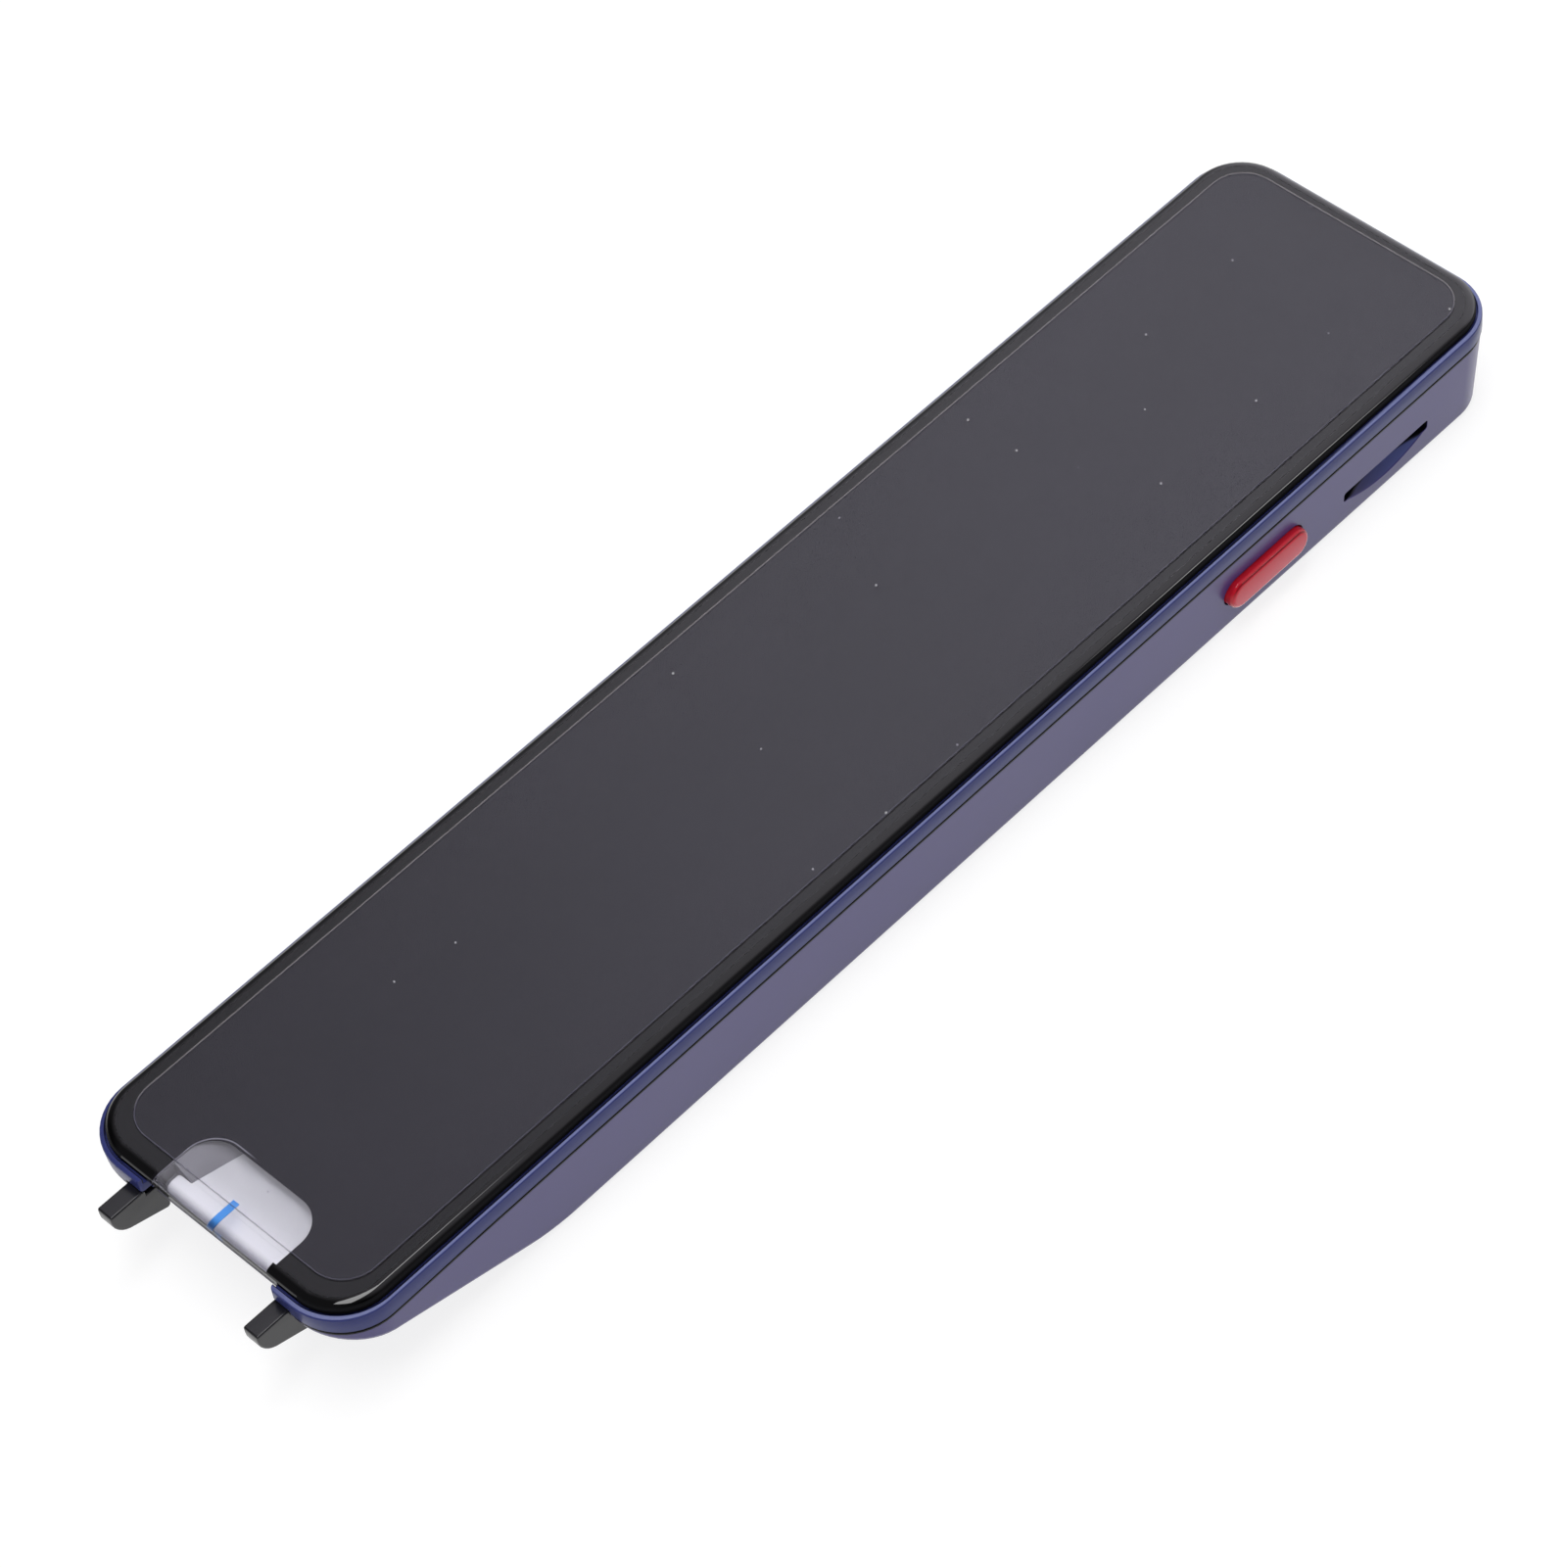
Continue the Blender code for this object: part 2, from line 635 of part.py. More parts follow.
def cavity_guide():
    """The housing's hollow, which follows its sides, belly and nose."""
    levels = (SEAM_HEIGHT + CUT_OVERRUN, HOUSING_FLOOR - CUT_OVERRUN)
    cavity = loft("cavity_guide", [housing_ring(level, HOUSING_WALL) for level in levels])
    front = BODY_FRONT + CAVITY_NOSE_SETBACK
    under = -CUT_OVERRUN
    over = BODY_HEIGHT + CUT_OVERRUN
    outline = [(front, over), (BODY_FRONT - CUT_OVERRUN, over),
               (BODY_FRONT - CUT_OVERRUN, under), (BODY_BACK + CUT_OVERRUN, under),
               (BODY_BACK + CUT_OVERRUN, HOUSING_FLOOR)]
    for along in reversed(straight_stations()):
        if along > front:
            outline.append((along, belly_height(along) + HOUSING_FLOOR))
    outline.append((front, belly_height(front) + HOUSING_FLOOR))
    cut(cavity, side_plate("floor_guide", outline, (-HALF_WIDTH, HALF_WIDTH)))
    return cavity


def post_guides():
    """Screw bosses and board posts standing on the housing's floor."""
    guides = []
    foot = HOUSING_FLOOR / 2
    for i, place in enumerate(boss_places()):
        top = CHASSIS_LEVEL - FIT_GAP
        guides.append(plate(f"boss_guide_{i}", circle(place, BOSS_RADIUS), (foot, top)))
    for i, (x, y, top) in enumerate(post_places()):
        guides.append(plate(f"post_guide_{i}", circle((x, y), POST_RADIUS), (foot, top)))
    return guides


def screw_hole_guides():
    """Blind holes for the chassis screws."""
    z = (CHASSIS_LEVEL - SCREW_LENGTH, CHASSIS_TOP)
    radius = SCREW_RADIUS + SCREW_CLEARANCE
    return [plate(f"screw_hole_guide_{i}", circle(place, radius), z)
            for i, place in enumerate(boss_places())]


def mouth_guides():
    """The gap in the nose's lip and the slots in which the feet slide."""
    y = (BODY_FRONT - CUT_OVERRUN, BODY_FRONT + MOUTH_DEPTH)
    z = (-CUT_OVERRUN, BODY_HEIGHT)
    half = HALF_WIDTH - MOUTH_INSET
    mouth = box("mouth_guide", (-half, half), y, z)
    slot_y = (BODY_FRONT, BODY_FRONT + FOOT_SLOT_DEPTH)
    inner = FOOT_INNER - FOOT_SLOT_CLEARANCE
    outer = FOOT_OUTER + FOOT_SLOT_CLEARANCE
    slots = [box(f"foot_slot_guide_{side}", sorted((side * inner, side * outer)), slot_y, z)
             for side in (-1, 1)]
    return [mouth, *slots]


def button_hole_guide():
    outline = stadium((BUTTON_ALONG, BUTTON_LEVEL), BUTTON_LENGTH + 2 * BUTTON_GAP,
                      BUTTON_WIDTH + 2 * BUTTON_GAP)
    inner = HALF_WIDTH - housing_inset(0.0, HOUSING_WALL) - CUT_OVERRUN
    return side_plate("button_hole_guide", outline, (inner, HALF_WIDTH + CUT_OVERRUN))


def port_hole_guide():
    outline = stadium((0.0, PORT_LEVEL), PORT_WIDTH + 2 * PORT_CLEARANCE,
                      PORT_HEIGHT + 2 * PORT_CLEARANCE)
    inner = BODY_BACK - housing_inset(0.0, HOUSING_WALL) - CUT_OVERRUN
    return end_plate("port_hole_guide", outline, (inner, BODY_BACK + CUT_OVERRUN))


def slot_face():
    """How far across the housing's face is at the cord slot."""
    return HALF_WIDTH - housing_inset(SLOT_LEVEL)


def pocket_guide():
    """The closed pocket moulded behind the cord slot."""
    wall = 2 * POCKET_WALL
    x = (slot_face() - SLOT_DEPTH - POCKET_WALL, slot_face() - POCKET_BITE)
    return box("pocket_guide", x, centred(SLOT_ALONG, SLOT_LENGTH + wall),
               centred(SLOT_LEVEL, SLOT_WIDTH + wall))


def slot_guide():
    outline = round_rectangle(centred(SLOT_ALONG, SLOT_LENGTH),
                              centred(SLOT_LEVEL, SLOT_WIDTH), SLOT_CORNER,
                              SLOT_CORNER_STEPS)
    x = (slot_face() - SLOT_DEPTH, HALF_WIDTH + CUT_OVERRUN)
    return side_plate("slot_guide", outline, x)


def scallop_guide():
    """The tilted scoop that opens the slot's lower edge, deepest at its middle."""
    low = SLOT_LEVEL - SLOT_WIDTH / 2
    half = SLOT_LENGTH / 2 - SLOT_CORNER
    outside = HALF_WIDTH + CUT_OVERRUN
    rings = []
    for level in (low - SCALLOP_HEIGHT, SLOT_LEVEL):
        deepest = slot_face() - SCALLOP_DEPTH * (1 - (low - level) / SCALLOP_HEIGHT)
        ring = [Vector((outside, SLOT_ALONG + half, level)),
                Vector((outside, SLOT_ALONG - half, level))]
        for step in range(SCALLOP_STEPS + 1):
            share = 2 * step / SCALLOP_STEPS - 1
            ring.append(Vector((deepest + SCALLOP_DEPTH * share ** 2,
                                SLOT_ALONG + half * share, level)))
        rings.append(ring)
    return loft("scallop_guide", rings)


def cord_post_guide():
    """The post inside the pocket that a cord is looped round."""
    outline = circle((slot_face() - CORD_POST_DEPTH, SLOT_ALONG), CORD_POST_RADIUS)
    return plate("cord_post_guide", outline, centred(SLOT_LEVEL, SLOT_WIDTH + 2 * POST_BITE))


def grille_guides():
    """The speaker's slots through the belly."""
    y = centred(SPEAKER_CENTRE_ALONG, GRILLE_SLOT_LENGTH)
    first = SPEAKER_CENTRE_ACROSS - GRILLE_PITCH * (GRILLE_COUNT - 1) / 2
    return [box(f"grille_guide_{i}", centred(first + GRILLE_PITCH * i, GRILLE_SLOT_WIDTH), y,
                (-CUT_OVERRUN, HOUSING_FLOOR + CUT_OVERRUN)) for i in range(GRILLE_COUNT)]


def build_trim_frame(look):
    """The ring round the glass, open across the scanning window."""
    rings = [body_ring(seam_height, 0.0, NOSE_TUCK)]
    for step in range(LIP_ROUND_STEPS + 1):
        angle = pi / 2 * step / LIP_ROUND_STEPS
        level = LIP_TOP - LIP_ROUND_DEPTH * (1 - sin(angle))
        side = LIP_SIDE_WIDTH * (1 - cos(angle))
        rings.append(body_ring(level, side, LIP_NOSE_WIDTH * (1 - cos(angle)), side))
    side = LIP_SIDE_WIDTH + LIP_LAND
    nose = LIP_NOSE_WIDTH + LIP_LAND
    rings.append(body_ring(LIP_TOP, side, nose, side))
    rings.append(body_ring(LEDGE_HEIGHT, side, nose, side))
    ledge = (LEDGE_SIDE_WIDTH, LEDGE_NOSE_WIDTH, LEDGE_SIDE_WIDTH)
    rings.append(body_ring(LEDGE_HEIGHT, *ledge))
    rings.append(body_ring(seam_height, *ledge))
    frame = hoop("trim_frame", rings, look)
    cut(frame, nose_gap_guide("frame_gap_guide"), *foot_notch_guides(), *mic_guides())
    return frame


def nose_gap_guide(name):
    """The gap at the nose left open for the window, its ends' outer corners rounded."""
    half, radius = NOSE_GAP_HALF_WIDTH, NOSE_GAP_CORNER
    back = BODY_FRONT + LEDGE_NOSE_WIDTH + CUT_OVERRUN
    right = [(half, back)]
    for step in range(NOSE_GAP_CORNER_STEPS + 1):
        angle = pi / 2 * step / NOSE_GAP_CORNER_STEPS
        right.append((half + radius * (1 - cos(angle)),
                      BODY_FRONT + radius * (1 - sin(angle))))
    right.append((half + radius, BODY_FRONT - CUT_OVERRUN))
    left = [(-x, y) for x, y in reversed(right)]
    return plate(name, right + left, (0.0, BODY_HEIGHT))


def foot_notch_guides():
    """The notches that let the feet slide in under the frame's lip."""
    outer = FOOT_OUTER + FOOT_NOTCH_CLEARANCE
    y = (BODY_FRONT - CUT_OVERRUN, BODY_FRONT + FOOT_NOTCH_DEPTH)
    z = (0.0, FOOT_TOP + FOOT_NOTCH_CLEARANCE)
    return [box("foot_notch_guide_left", (-outer, 0.0), y, z),
            box("foot_notch_guide_right", (0.0, outer), y, z)]


def mic_guides():
    """The microphone's notch in the tail's lip, and the bore that leads in from it."""
    notch_y = (BODY_BACK - MIC_NOTCH_REACH, BODY_BACK + CUT_OVERRUN)
    notch = stadium((MIC_ACROSS, BODY_HEIGHT - MIC_NOTCH_DEPTH), MIC_NOTCH_WIDTH,
                    MIC_NOTCH_HEIGHT)
    bore_y = (BODY_BACK - LEDGE_SIDE_WIDTH - CUT_OVERRUN, BODY_BACK)
    bore = circle((MIC_ACROSS, BODY_HEIGHT - MIC_BORE_DEPTH), MIC_BORE_RADIUS)
    return [end_plate("mic_notch_guide", notch, notch_y),
            end_plate("mic_bore_guide", bore, bore_y)]


def build_glass_gasket(look):
    """The adhesive ring between the frame's ledge and the glass."""
    low = LEDGE_HEIGHT + THIN_GAP
    high = PRINT_BOTTOM - THIN_GAP
    outer = (GASKET_INSET, GASKET_NOSE_INSET, GASKET_INSET)
    inner = [inset + GASKET_WIDTH for inset in outer]
    rings = [body_ring(low, *outer), body_ring(high, *outer), body_ring(high, *inner),
             body_ring(low, *inner)]
    gasket = hoop("glass_gasket", rings, look)
    cut(gasket, nose_gap_guide("gasket_gap_guide"))
    return gasket


def build_cover_glass(look):
    """The glass over the whole top, rounded down at its edge."""
    rings = []
    for step in range(GLASS_EDGE_STEPS + 1):
        angle = pi / 2 * step / GLASS_EDGE_STEPS
        level = BODY_HEIGHT - GLASS_EDGE_HEIGHT * (1 - sin(angle))
        side = GLASS_SIDE_INSET + GLASS_EDGE_WIDTH * (1 - cos(angle))
        nose = GLASS_NOSE_INSET + GLASS_NOSE_EDGE_WIDTH * (1 - cos(angle))
        rings.append(body_ring(level, side, nose, side))
    rings.insert(0, body_ring(GLASS_BOTTOM, GLASS_SIDE_INSET, GLASS_NOSE_INSET,
                              GLASS_SIDE_INSET))
    return loft("cover_glass", rings, look)


def build_protective_film(look):
    outline = round_rectangle((FILM_SIDE_MARGIN - HALF_WIDTH, HALF_WIDTH - FILM_SIDE_MARGIN),
                              (BODY_FRONT + FILM_NOSE_MARGIN, BODY_BACK - FILM_TAIL_MARGIN),
                              FILM_CORNER_RADIUS)
    low = BODY_HEIGHT + THIN_GAP
    return plate("protective_film", outline, (low, low + FILM_THICKNESS), look)


def build_glass_print(look):
    """The black print under the glass, left clear over the scanning window."""
    z = (PRINT_BOTTOM, PRINT_TOP)
    rings = [body_ring(level, PRINT_INSET, PRINT_INSET, PRINT_INSET) for level in z]
    printed = loft("glass_print", rings, look)
    front = BODY_FRONT - WINDOW_CORNER_RADIUS
    outline = round_rectangle((-WINDOW_HALF_WIDTH, WINDOW_HALF_WIDTH),
                              (front, BODY_FRONT + WINDOW_DEPTH), WINDOW_CORNER_RADIUS)
    cut(printed, plate("window_guide", outline, (PRINT_BOTTOM - CUT_OVERRUN, BODY_HEIGHT)))
    return printed


def build_guide_mark(look):
    """The mark that shows the middle of the scanned line."""
    front = BODY_FRONT + MARK_SETBACK
    return box("guide_mark", centred(0.0, MARK_WIDTH), (front, front + MARK_LENGTH),
               (PRINT_BOTTOM, PRINT_TOP), look)


def screen_outline(margin):
    """Plan of the display, grown by a margin."""
    half = HALF_WIDTH - SCREEN_SIDE_INSET + margin
    y = (BODY_FRONT + SCREEN_NOSE_SETBACK - margin, BODY_BACK - SCREEN_TAIL_SETBACK + margin)
    return round_rectangle((-half, half), y, SCREEN_CORNER_RADIUS + margin, SLOT_CORNER_STEPS)


def build_display_panel(look):
    return plate("display_panel", screen_outline(0.0), (SCREEN_BOTTOM, SCREEN_TOP), look)


def build_display_tray(look):
    return plate("display_tray", screen_outline(TRAY_MARGIN), (TRAY_BOTTOM, TRAY_TOP), look)


def chamber_section(foot):
    """End section of the light chamber, with its left wall's foot at a place across."""
    wall = CHAMBER_HALF_WIDTH - CHAMBER_WALL
    top = PRINT_BOTTOM - THIN_GAP
    return [(-CHAMBER_HALF_WIDTH, CHAMBER_BOTTOM), (CHAMBER_HALF_WIDTH, CHAMBER_BOTTOM),
            (CHAMBER_HALF_WIDTH, top), (wall, top), (wall, CHAMBER_FLOOR_TOP),
            (-foot, CHAMBER_FLOOR_TOP), (-wall, top), (-CHAMBER_HALF_WIDTH, top)]


def build_light_chamber(look):
    """The tray under the window: its left wall leans out behind the reflector's tab."""
    step = BODY_FRONT + TAB_FAR_SETBACK + REFLECTOR_CLEARANCE
    wall = CHAMBER_HALF_WIDTH - CHAMBER_WALL
    sections = ((CHAMBER_FRONT, wall), (step - CHAMBER_BLEND, wall),
                (step, REFLECTOR_NEAR_LEFT + REFLECTOR_CLEARANCE),
                (CHAMBER_BACK, REFLECTOR_FAR_LEFT + REFLECTOR_CLEARANCE))
    rings = [[Vector((x, along, z)) for x, z in chamber_section(foot)]
             for along, foot in sections]
    chamber = loft("light_chamber", rings, look)
    back = box("chamber_back_guide", (-CHAMBER_HALF_WIDTH, CHAMBER_HALF_WIDTH),
               (CHAMBER_BACK - CHAMBER_WALL, CHAMBER_BACK + CHAMBER_BLEND),
               (CHAMBER_BOTTOM, PRINT_BOTTOM - THIN_GAP))
    fuse(chamber, back)
    return chamber


def build_scan_reflector(look):
    """The bright plate seen through the window, with a tab and a curved front edge."""
    far = BODY_FRONT + REFLECTOR_FAR_SETBACK
    tab_far = BODY_FRONT + TAB_FAR_SETBACK
    tab_near = BODY_FRONT + TAB_NEAR_SETBACK
    front = BODY_FRONT + CURVE_SETBACK
    right = CHAMBER_HALF_WIDTH - REFLECTOR_RIGHT_INSET
    reach = CHAMBER_HALF_WIDTH - TAB_INSET
    outline = [(right, front), (right, far), (-REFLECTOR_FAR_LEFT, far),
               (-REFLECTOR_NEAR_LEFT, tab_far)]
    for middle, quarter in ((tab_far - TAB_CORNER, 0), (tab_near + TAB_CORNER, 1)):
        for step in range(TAB_CORNER_STEPS + 1):
            angle = pi / 2 * (quarter + step / TAB_CORNER_STEPS)
            outline.append((-reach + TAB_CORNER * (1 - sin(angle)),
                            middle + TAB_CORNER * cos(angle)))
    start = CURVE_START_INSET - CHAMBER_HALF_WIDTH
    end = CURVE_END_INSET - CHAMBER_HALF_WIDTH
    for step in range(CURVE_STEPS + 1):
        share = step / CURVE_STEPS
        fall_share = (1 - cos(pi * share)) / 2
        outline.append((start + (end - start) * share,
                        tab_near + (front - tab_near) * fall_share))
    z = (REFLECTOR_TOP - REFLECTOR_THICKNESS, REFLECTOR_TOP)
    return plate("scan_reflector", outline, z, look)


def foot_outline():
    """Side outline of one foot and its arm, as y and z."""
    front = BODY_FRONT
    outline = [(BRIDGE_BACK, ARM_TOP), (front + FOOT_TOP_SETBACK, ARM_TOP),
               (front + FOOT_TOP_SETBACK, FOOT_TOP), (front - FOOT_REACH, FOOT_TOP)]
    chin = front - FOOT_REACH + FOOT_CHIN_RADIUS
    for step in range(FOOT_CHIN_STEPS + 1):
        angle = FOOT_CHIN_SWEEP * step / FOOT_CHIN_STEPS
        outline.append((chin - FOOT_CHIN_RADIUS * cos(angle),
                        BODY_HEIGHT - FOOT_CHIN_DEPTH - FOOT_CHIN_RADIUS * sin(angle)))
    heel = front + FOOT_HEEL_SETBACK
    for step in range(FOOT_HEEL_STEPS + 1):
        angle = pi / 2 * step / FOOT_HEEL_STEPS
        outline.append((heel + FOOT_HEEL_RADIUS * sin(angle), BODY_HEIGHT - FOOT_HEEL_DEPTH
                        + FOOT_HEEL_RADIUS * (1 - cos(angle))))
    outline.append((heel + FOOT_HEEL_RADIUS, ARM_TOP - ARM_DEPTH))
    outline.append((BRIDGE_BACK, ARM_TOP - ARM_DEPTH))
    return outline


def build_foot(name, side, look):
    """One foot with its arm, softened at its edges."""
    x = sorted((side * FOOT_INNER, side * FOOT_OUTER))
    foot = side_plate(name, foot_outline(), x, look)
    soften = foot.modifiers.new("edge", "BEVEL")
    soften.width = FOOT_EDGE
    soften.segments = FOOT_EDGE_SEGMENTS
    soften.limit_method = "ANGLE"
    return foot


def build_scan_feet(look):
    """Both feet and the bridge behind them that joins their arms, as one moulding."""
    feet = build_foot("scan_feet", 1, look)
    other = build_foot("other_foot_guide", -1, None)
    bridge = box("bridge_guide", (-FOOT_OUTER + FOOT_EDGE, FOOT_OUTER - FOOT_EDGE),
                 (BRIDGE_FRONT, BRIDGE_BACK - FOOT_EDGE), (ARM_TOP - BRIDGE_DEPTH,
                                                           ARM_TOP - FOOT_EDGE))
    fuse(feet, bridge, other)
    move_origin(feet, (0.0, BODY_FRONT, ARM_TOP))
    return feet


def build_scan_plunger(look):
    """The pin the bridge pushes into the scan switch."""
    outline = circle((0.0, SCAN_PLUNGER_LEVEL), SCAN_PLUNGER_RADIUS)
    y = (BRIDGE_BACK + THIN_GAP, SCAN_SWITCH_FRONT + SCAN_PLUNGER_DEPTH)
    plunger = end_plate("scan_plunger", outline, y, look)
    move_origin(plunger, (0.0, BRIDGE_BACK, SCAN_PLUNGER_LEVEL))
    return plunger


def build_scan_switch(look):
    """The switch on the main board's front edge, bored for its plunger."""
    low = BOARD_TOP + THIN_GAP
    switch = box("scan_switch", centred(0.0, SCAN_SWITCH_WIDTH),
                 (SCAN_SWITCH_FRONT, SCAN_SWITCH_FRONT + SCAN_SWITCH_LENGTH),
                 (low, low + SCAN_SWITCH_HEIGHT), look)
    outline = circle((0.0, SCAN_PLUNGER_LEVEL), SCAN_PLUNGER_RADIUS + PLUNGER_CLEARANCE)
    y = (SCAN_SWITCH_FRONT - CUT_OVERRUN, SCAN_SWITCH_FRONT + SCAN_BORE_DEPTH)
    cut(switch, end_plate("scan_bore_guide", outline, y))
    return switch


def build_camera_lens(look):
    """The lens barrel, cupped at its front."""
    front = BODY_FRONT + LENS_SETBACK
    cup = LENS_RADIUS - LENS_RIM
    sections = ((front + LENS_CUP_DEPTH, cup), (front, cup), (front, LENS_RADIUS),
                (front + LENS_LENGTH, LENS_RADIUS))
    rings = [[Vector((x, along, z)) for x, z in circle((0.0, LENS_LEVEL), radius)]
             for along, radius in sections]
    return loft("camera_lens", rings, look)


def build_camera_bracket(look):
    """The plate that holds the camera and its lights behind the nose."""
    y = (BRACKET_FRONT, BRACKET_FRONT + BRACKET_THICKNESS)
    bracket = box("camera_bracket", (-BRACKET_HALF_WIDTH, BRACKET_HALF_WIDTH), y,
                  (BODY_HEIGHT - BRACKET_DEPTH, ARM_TOP), look)
    outline = circle((0.0, LENS_LEVEL), LENS_RADIUS + FIT_GAP)
    bore_y = (BRACKET_FRONT - CUT_OVERRUN, BRACKET_FRONT + CUT_OVERRUN)
    cut(bracket, end_plate("lens_bore_guide", outline, bore_y))
    return bracket


def build_camera_module(look):
    return box("camera_module", centred(0.0, CAMERA_WIDTH), (CAMERA_FRONT, CAMERA_BACK),
               centred(LENS_LEVEL, CAMERA_DEPTH), look)


def build_camera_board(look):
    front = CAMERA_BACK + THIN_GAP
    half = BRACKET_HALF_WIDTH - CAMERA_BOARD_INSET
    return box("camera_board", (-half, half),
               (front, front + CAMERA_BOARD_THICKNESS), centred(LENS_LEVEL, CAMERA_DEPTH), look)


def build_scan_led(name, side, look):
    back = BRACKET_FRONT - THIN_GAP
    middle = side * (BRACKET_HALF_WIDTH - LED_INSET)
    return box(name, centred(middle, LED_WIDTH), (back - LED_THICKNESS, back),
               centred(LENS_LEVEL, LED_HEIGHT), look)


def build_inner_chassis(look):
    """The plate over the battery and boards that carries the display."""
    inset = (CHASSIS_INSET,) * 3
    rings = [body_ring(level, *inset) for level in (CHASSIS_LEVEL, CHASSIS_TOP)]
    chassis = loft("inner_chassis", rings, look)
    front = box("chassis_front_guide", (-HALF_WIDTH, HALF_WIDTH),
                (BODY_FRONT, BODY_FRONT + CHASSIS_NOSE_SETBACK), (0.0, BODY_HEIGHT))
    guides = [front]
    for i, place in enumerate(boss_places()):
        bore = circle(place, SCREW_RADIUS + SCREW_CLEARANCE)
        guides.append(plate(f"chassis_bore_guide_{i}", bore, (0.0, BODY_HEIGHT)))
        seat = circle(place, SCREW_HEAD_RADIUS + SCREW_CLEARANCE)
        low = CHASSIS_TOP - SCREW_HEAD_HEIGHT - 2 * THIN_GAP
        guides.append(plate(f"chassis_seat_guide_{i}", seat, (low, BODY_HEIGHT)))
    slot = FLEX_HALF_WIDTH + FLEX_SLOT_GAP
    flex = BODY_FRONT + FLEX_SETBACK
    guides.append(box("flex_slot_guide", (-slot, slot),
                      (flex - FLEX_SLOT_GAP, flex + FLEX_THICKNESS + FLEX_SLOT_GAP),
                      (0.0, BODY_HEIGHT)))
    cut(chassis, *guides)
    return chassis


def build_chassis_screw(name, place, look):
    """A screw with a flat head let into the chassis."""
    top = CHASSIS_TOP - THIN_GAP
    neck = top - SCREW_HEAD_HEIGHT
    sections = ((neck - SCREW_LENGTH + CHASSIS_THICKNESS, SCREW_RADIUS), (neck, SCREW_RADIUS),
                (neck, SCREW_HEAD_RADIUS), (top, SCREW_HEAD_RADIUS))
    rings = [[Vector((x, y, level)) for x, y in circle(place, radius)]
             for level, radius in sections]
    return loft(name, rings, look)


def on_board(name, width, length, height, setback, look):
    """A flat component on the main board."""
    low = BOARD_TOP + THIN_GAP
    front = BOARD_FRONT + setback
    return box(name, centred(0.0, width), (front, front + length), (low, low + height), look)


def build_display_flex(look):
    """The ribbon from under the display, through the chassis, to the main board."""
    fold = BODY_FRONT + FLEX_SETBACK
    low = BOARD_TOP + THIN_GAP
    high = CHASSIS_TOP + THIN_GAP
    thick = FLEX_THICKNESS
    outline = [(fold - FLEX_FOOT, low), (fold + thick, low), (fold + thick, high),
               (fold + FLEX_FOOT, high), (fold + FLEX_FOOT, high + thick),
               (fold, high + thick), (fold, low + thick), (fold - FLEX_FOOT, low + thick)]
    return side_plate("display_flex", outline, (-FLEX_HALF_WIDTH, FLEX_HALF_WIDTH), look)


def flange_face():
    """How far across the button's flange reaches, clear of the housing's inside."""
    lowest = BUTTON_LEVEL - BUTTON_WIDTH / 2 - BUTTON_FLANGE
    return HALF_WIDTH - housing_inset(lowest, HOUSING_WALL) - FIT_GAP


def build_button_cap(look):
    """The long cap with a rounded face, kept in by a flange."""
    face = HALF_WIDTH - housing_inset(BUTTON_LEVEL) + BUTTON_PROUD
    stop = flange_face()
    sections = [(stop - BUTTON_FLANGE_THICKNESS, BUTTON_FLANGE), (stop, BUTTON_FLANGE),
                (stop, 0.0)]
    for step in range(BUTTON_EDGE_STEPS + 1):
        angle = pi / 2 * step / BUTTON_EDGE_STEPS
        sections.append((face - BUTTON_EDGE * (1 - sin(angle)),
                         -BUTTON_EDGE * (1 - cos(angle))))
    rings = []
    for across, margin in sections:
        outline = stadium((BUTTON_ALONG, BUTTON_LEVEL), BUTTON_LENGTH + 2 * margin,
                          BUTTON_WIDTH + 2 * margin)
        rings.append([Vector((across, *point)) for point in outline])
    cap = loft("button_cap", rings, look)
    move_origin(cap, (face, BUTTON_ALONG, BUTTON_LEVEL))
    return cap


def build_side_plunger(look):
    """The pin between the button and its switch."""
    outline = circle((BUTTON_ALONG, BUTTON_LEVEL), SIDE_PLUNGER_RADIUS)
    outer = flange_face() - BUTTON_FLANGE_THICKNESS - THIN_GAP
    plunger = side_plate("side_plunger", outline,
                         (SIDE_SWITCH_FACE - SIDE_PLUNGER_DEPTH, outer), look)
    move_origin(plunger, (outer, BUTTON_ALONG, BUTTON_LEVEL))
    return plunger


def build_side_switch(look):
    """The switch behind the button, bored for its plunger."""
    switch = box("side_switch", (SIDE_SWITCH_BACK, SIDE_SWITCH_FACE),
                 centred(BUTTON_ALONG, SIDE_SWITCH_SIZE),
                 centred(BUTTON_LEVEL, SIDE_SWITCH_SIZE), look)
    outline = circle((BUTTON_ALONG, BUTTON_LEVEL), SIDE_PLUNGER_RADIUS + PLUNGER_CLEARANCE)
    bore_x = (SIDE_SWITCH_FACE - SIDE_BORE_DEPTH, SIDE_SWITCH_FACE + CUT_OVERRUN)
    cut(switch, side_plate("side_bore_guide", outline, bore_x))
    return switch


def build_side_switch_board(look):
    back = SIDE_SWITCH_BACK - THIN_GAP
    return box("side_switch_board", (back - SWITCH_BOARD_THICKNESS, back),
               centred(BUTTON_ALONG, SWITCH_BOARD_LENGTH),
               (HOUSING_FLOOR + FIT_GAP, BUTTON_LEVEL + SWITCH_BOARD_RISE), look)


def battery_sides(margin):
    """Ends of the battery across and along, drawn in by a margin."""
    x = (BATTERY_LEFT_INSET - HALF_WIDTH + margin, HALF_WIDTH - BATTERY_RIGHT_INSET - margin)
    y = (BATTERY_FRONT + margin, BATTERY_BACK - margin)
    return x, y


def build_battery(look):
    outline = round_rectangle(*battery_sides(0.0), BATTERY_CORNER, SLOT_CORNER_STEPS)
    return plate("battery", outline, (BATTERY_BOTTOM, CHASSIS_LEVEL - BATTERY_ROOM), look)


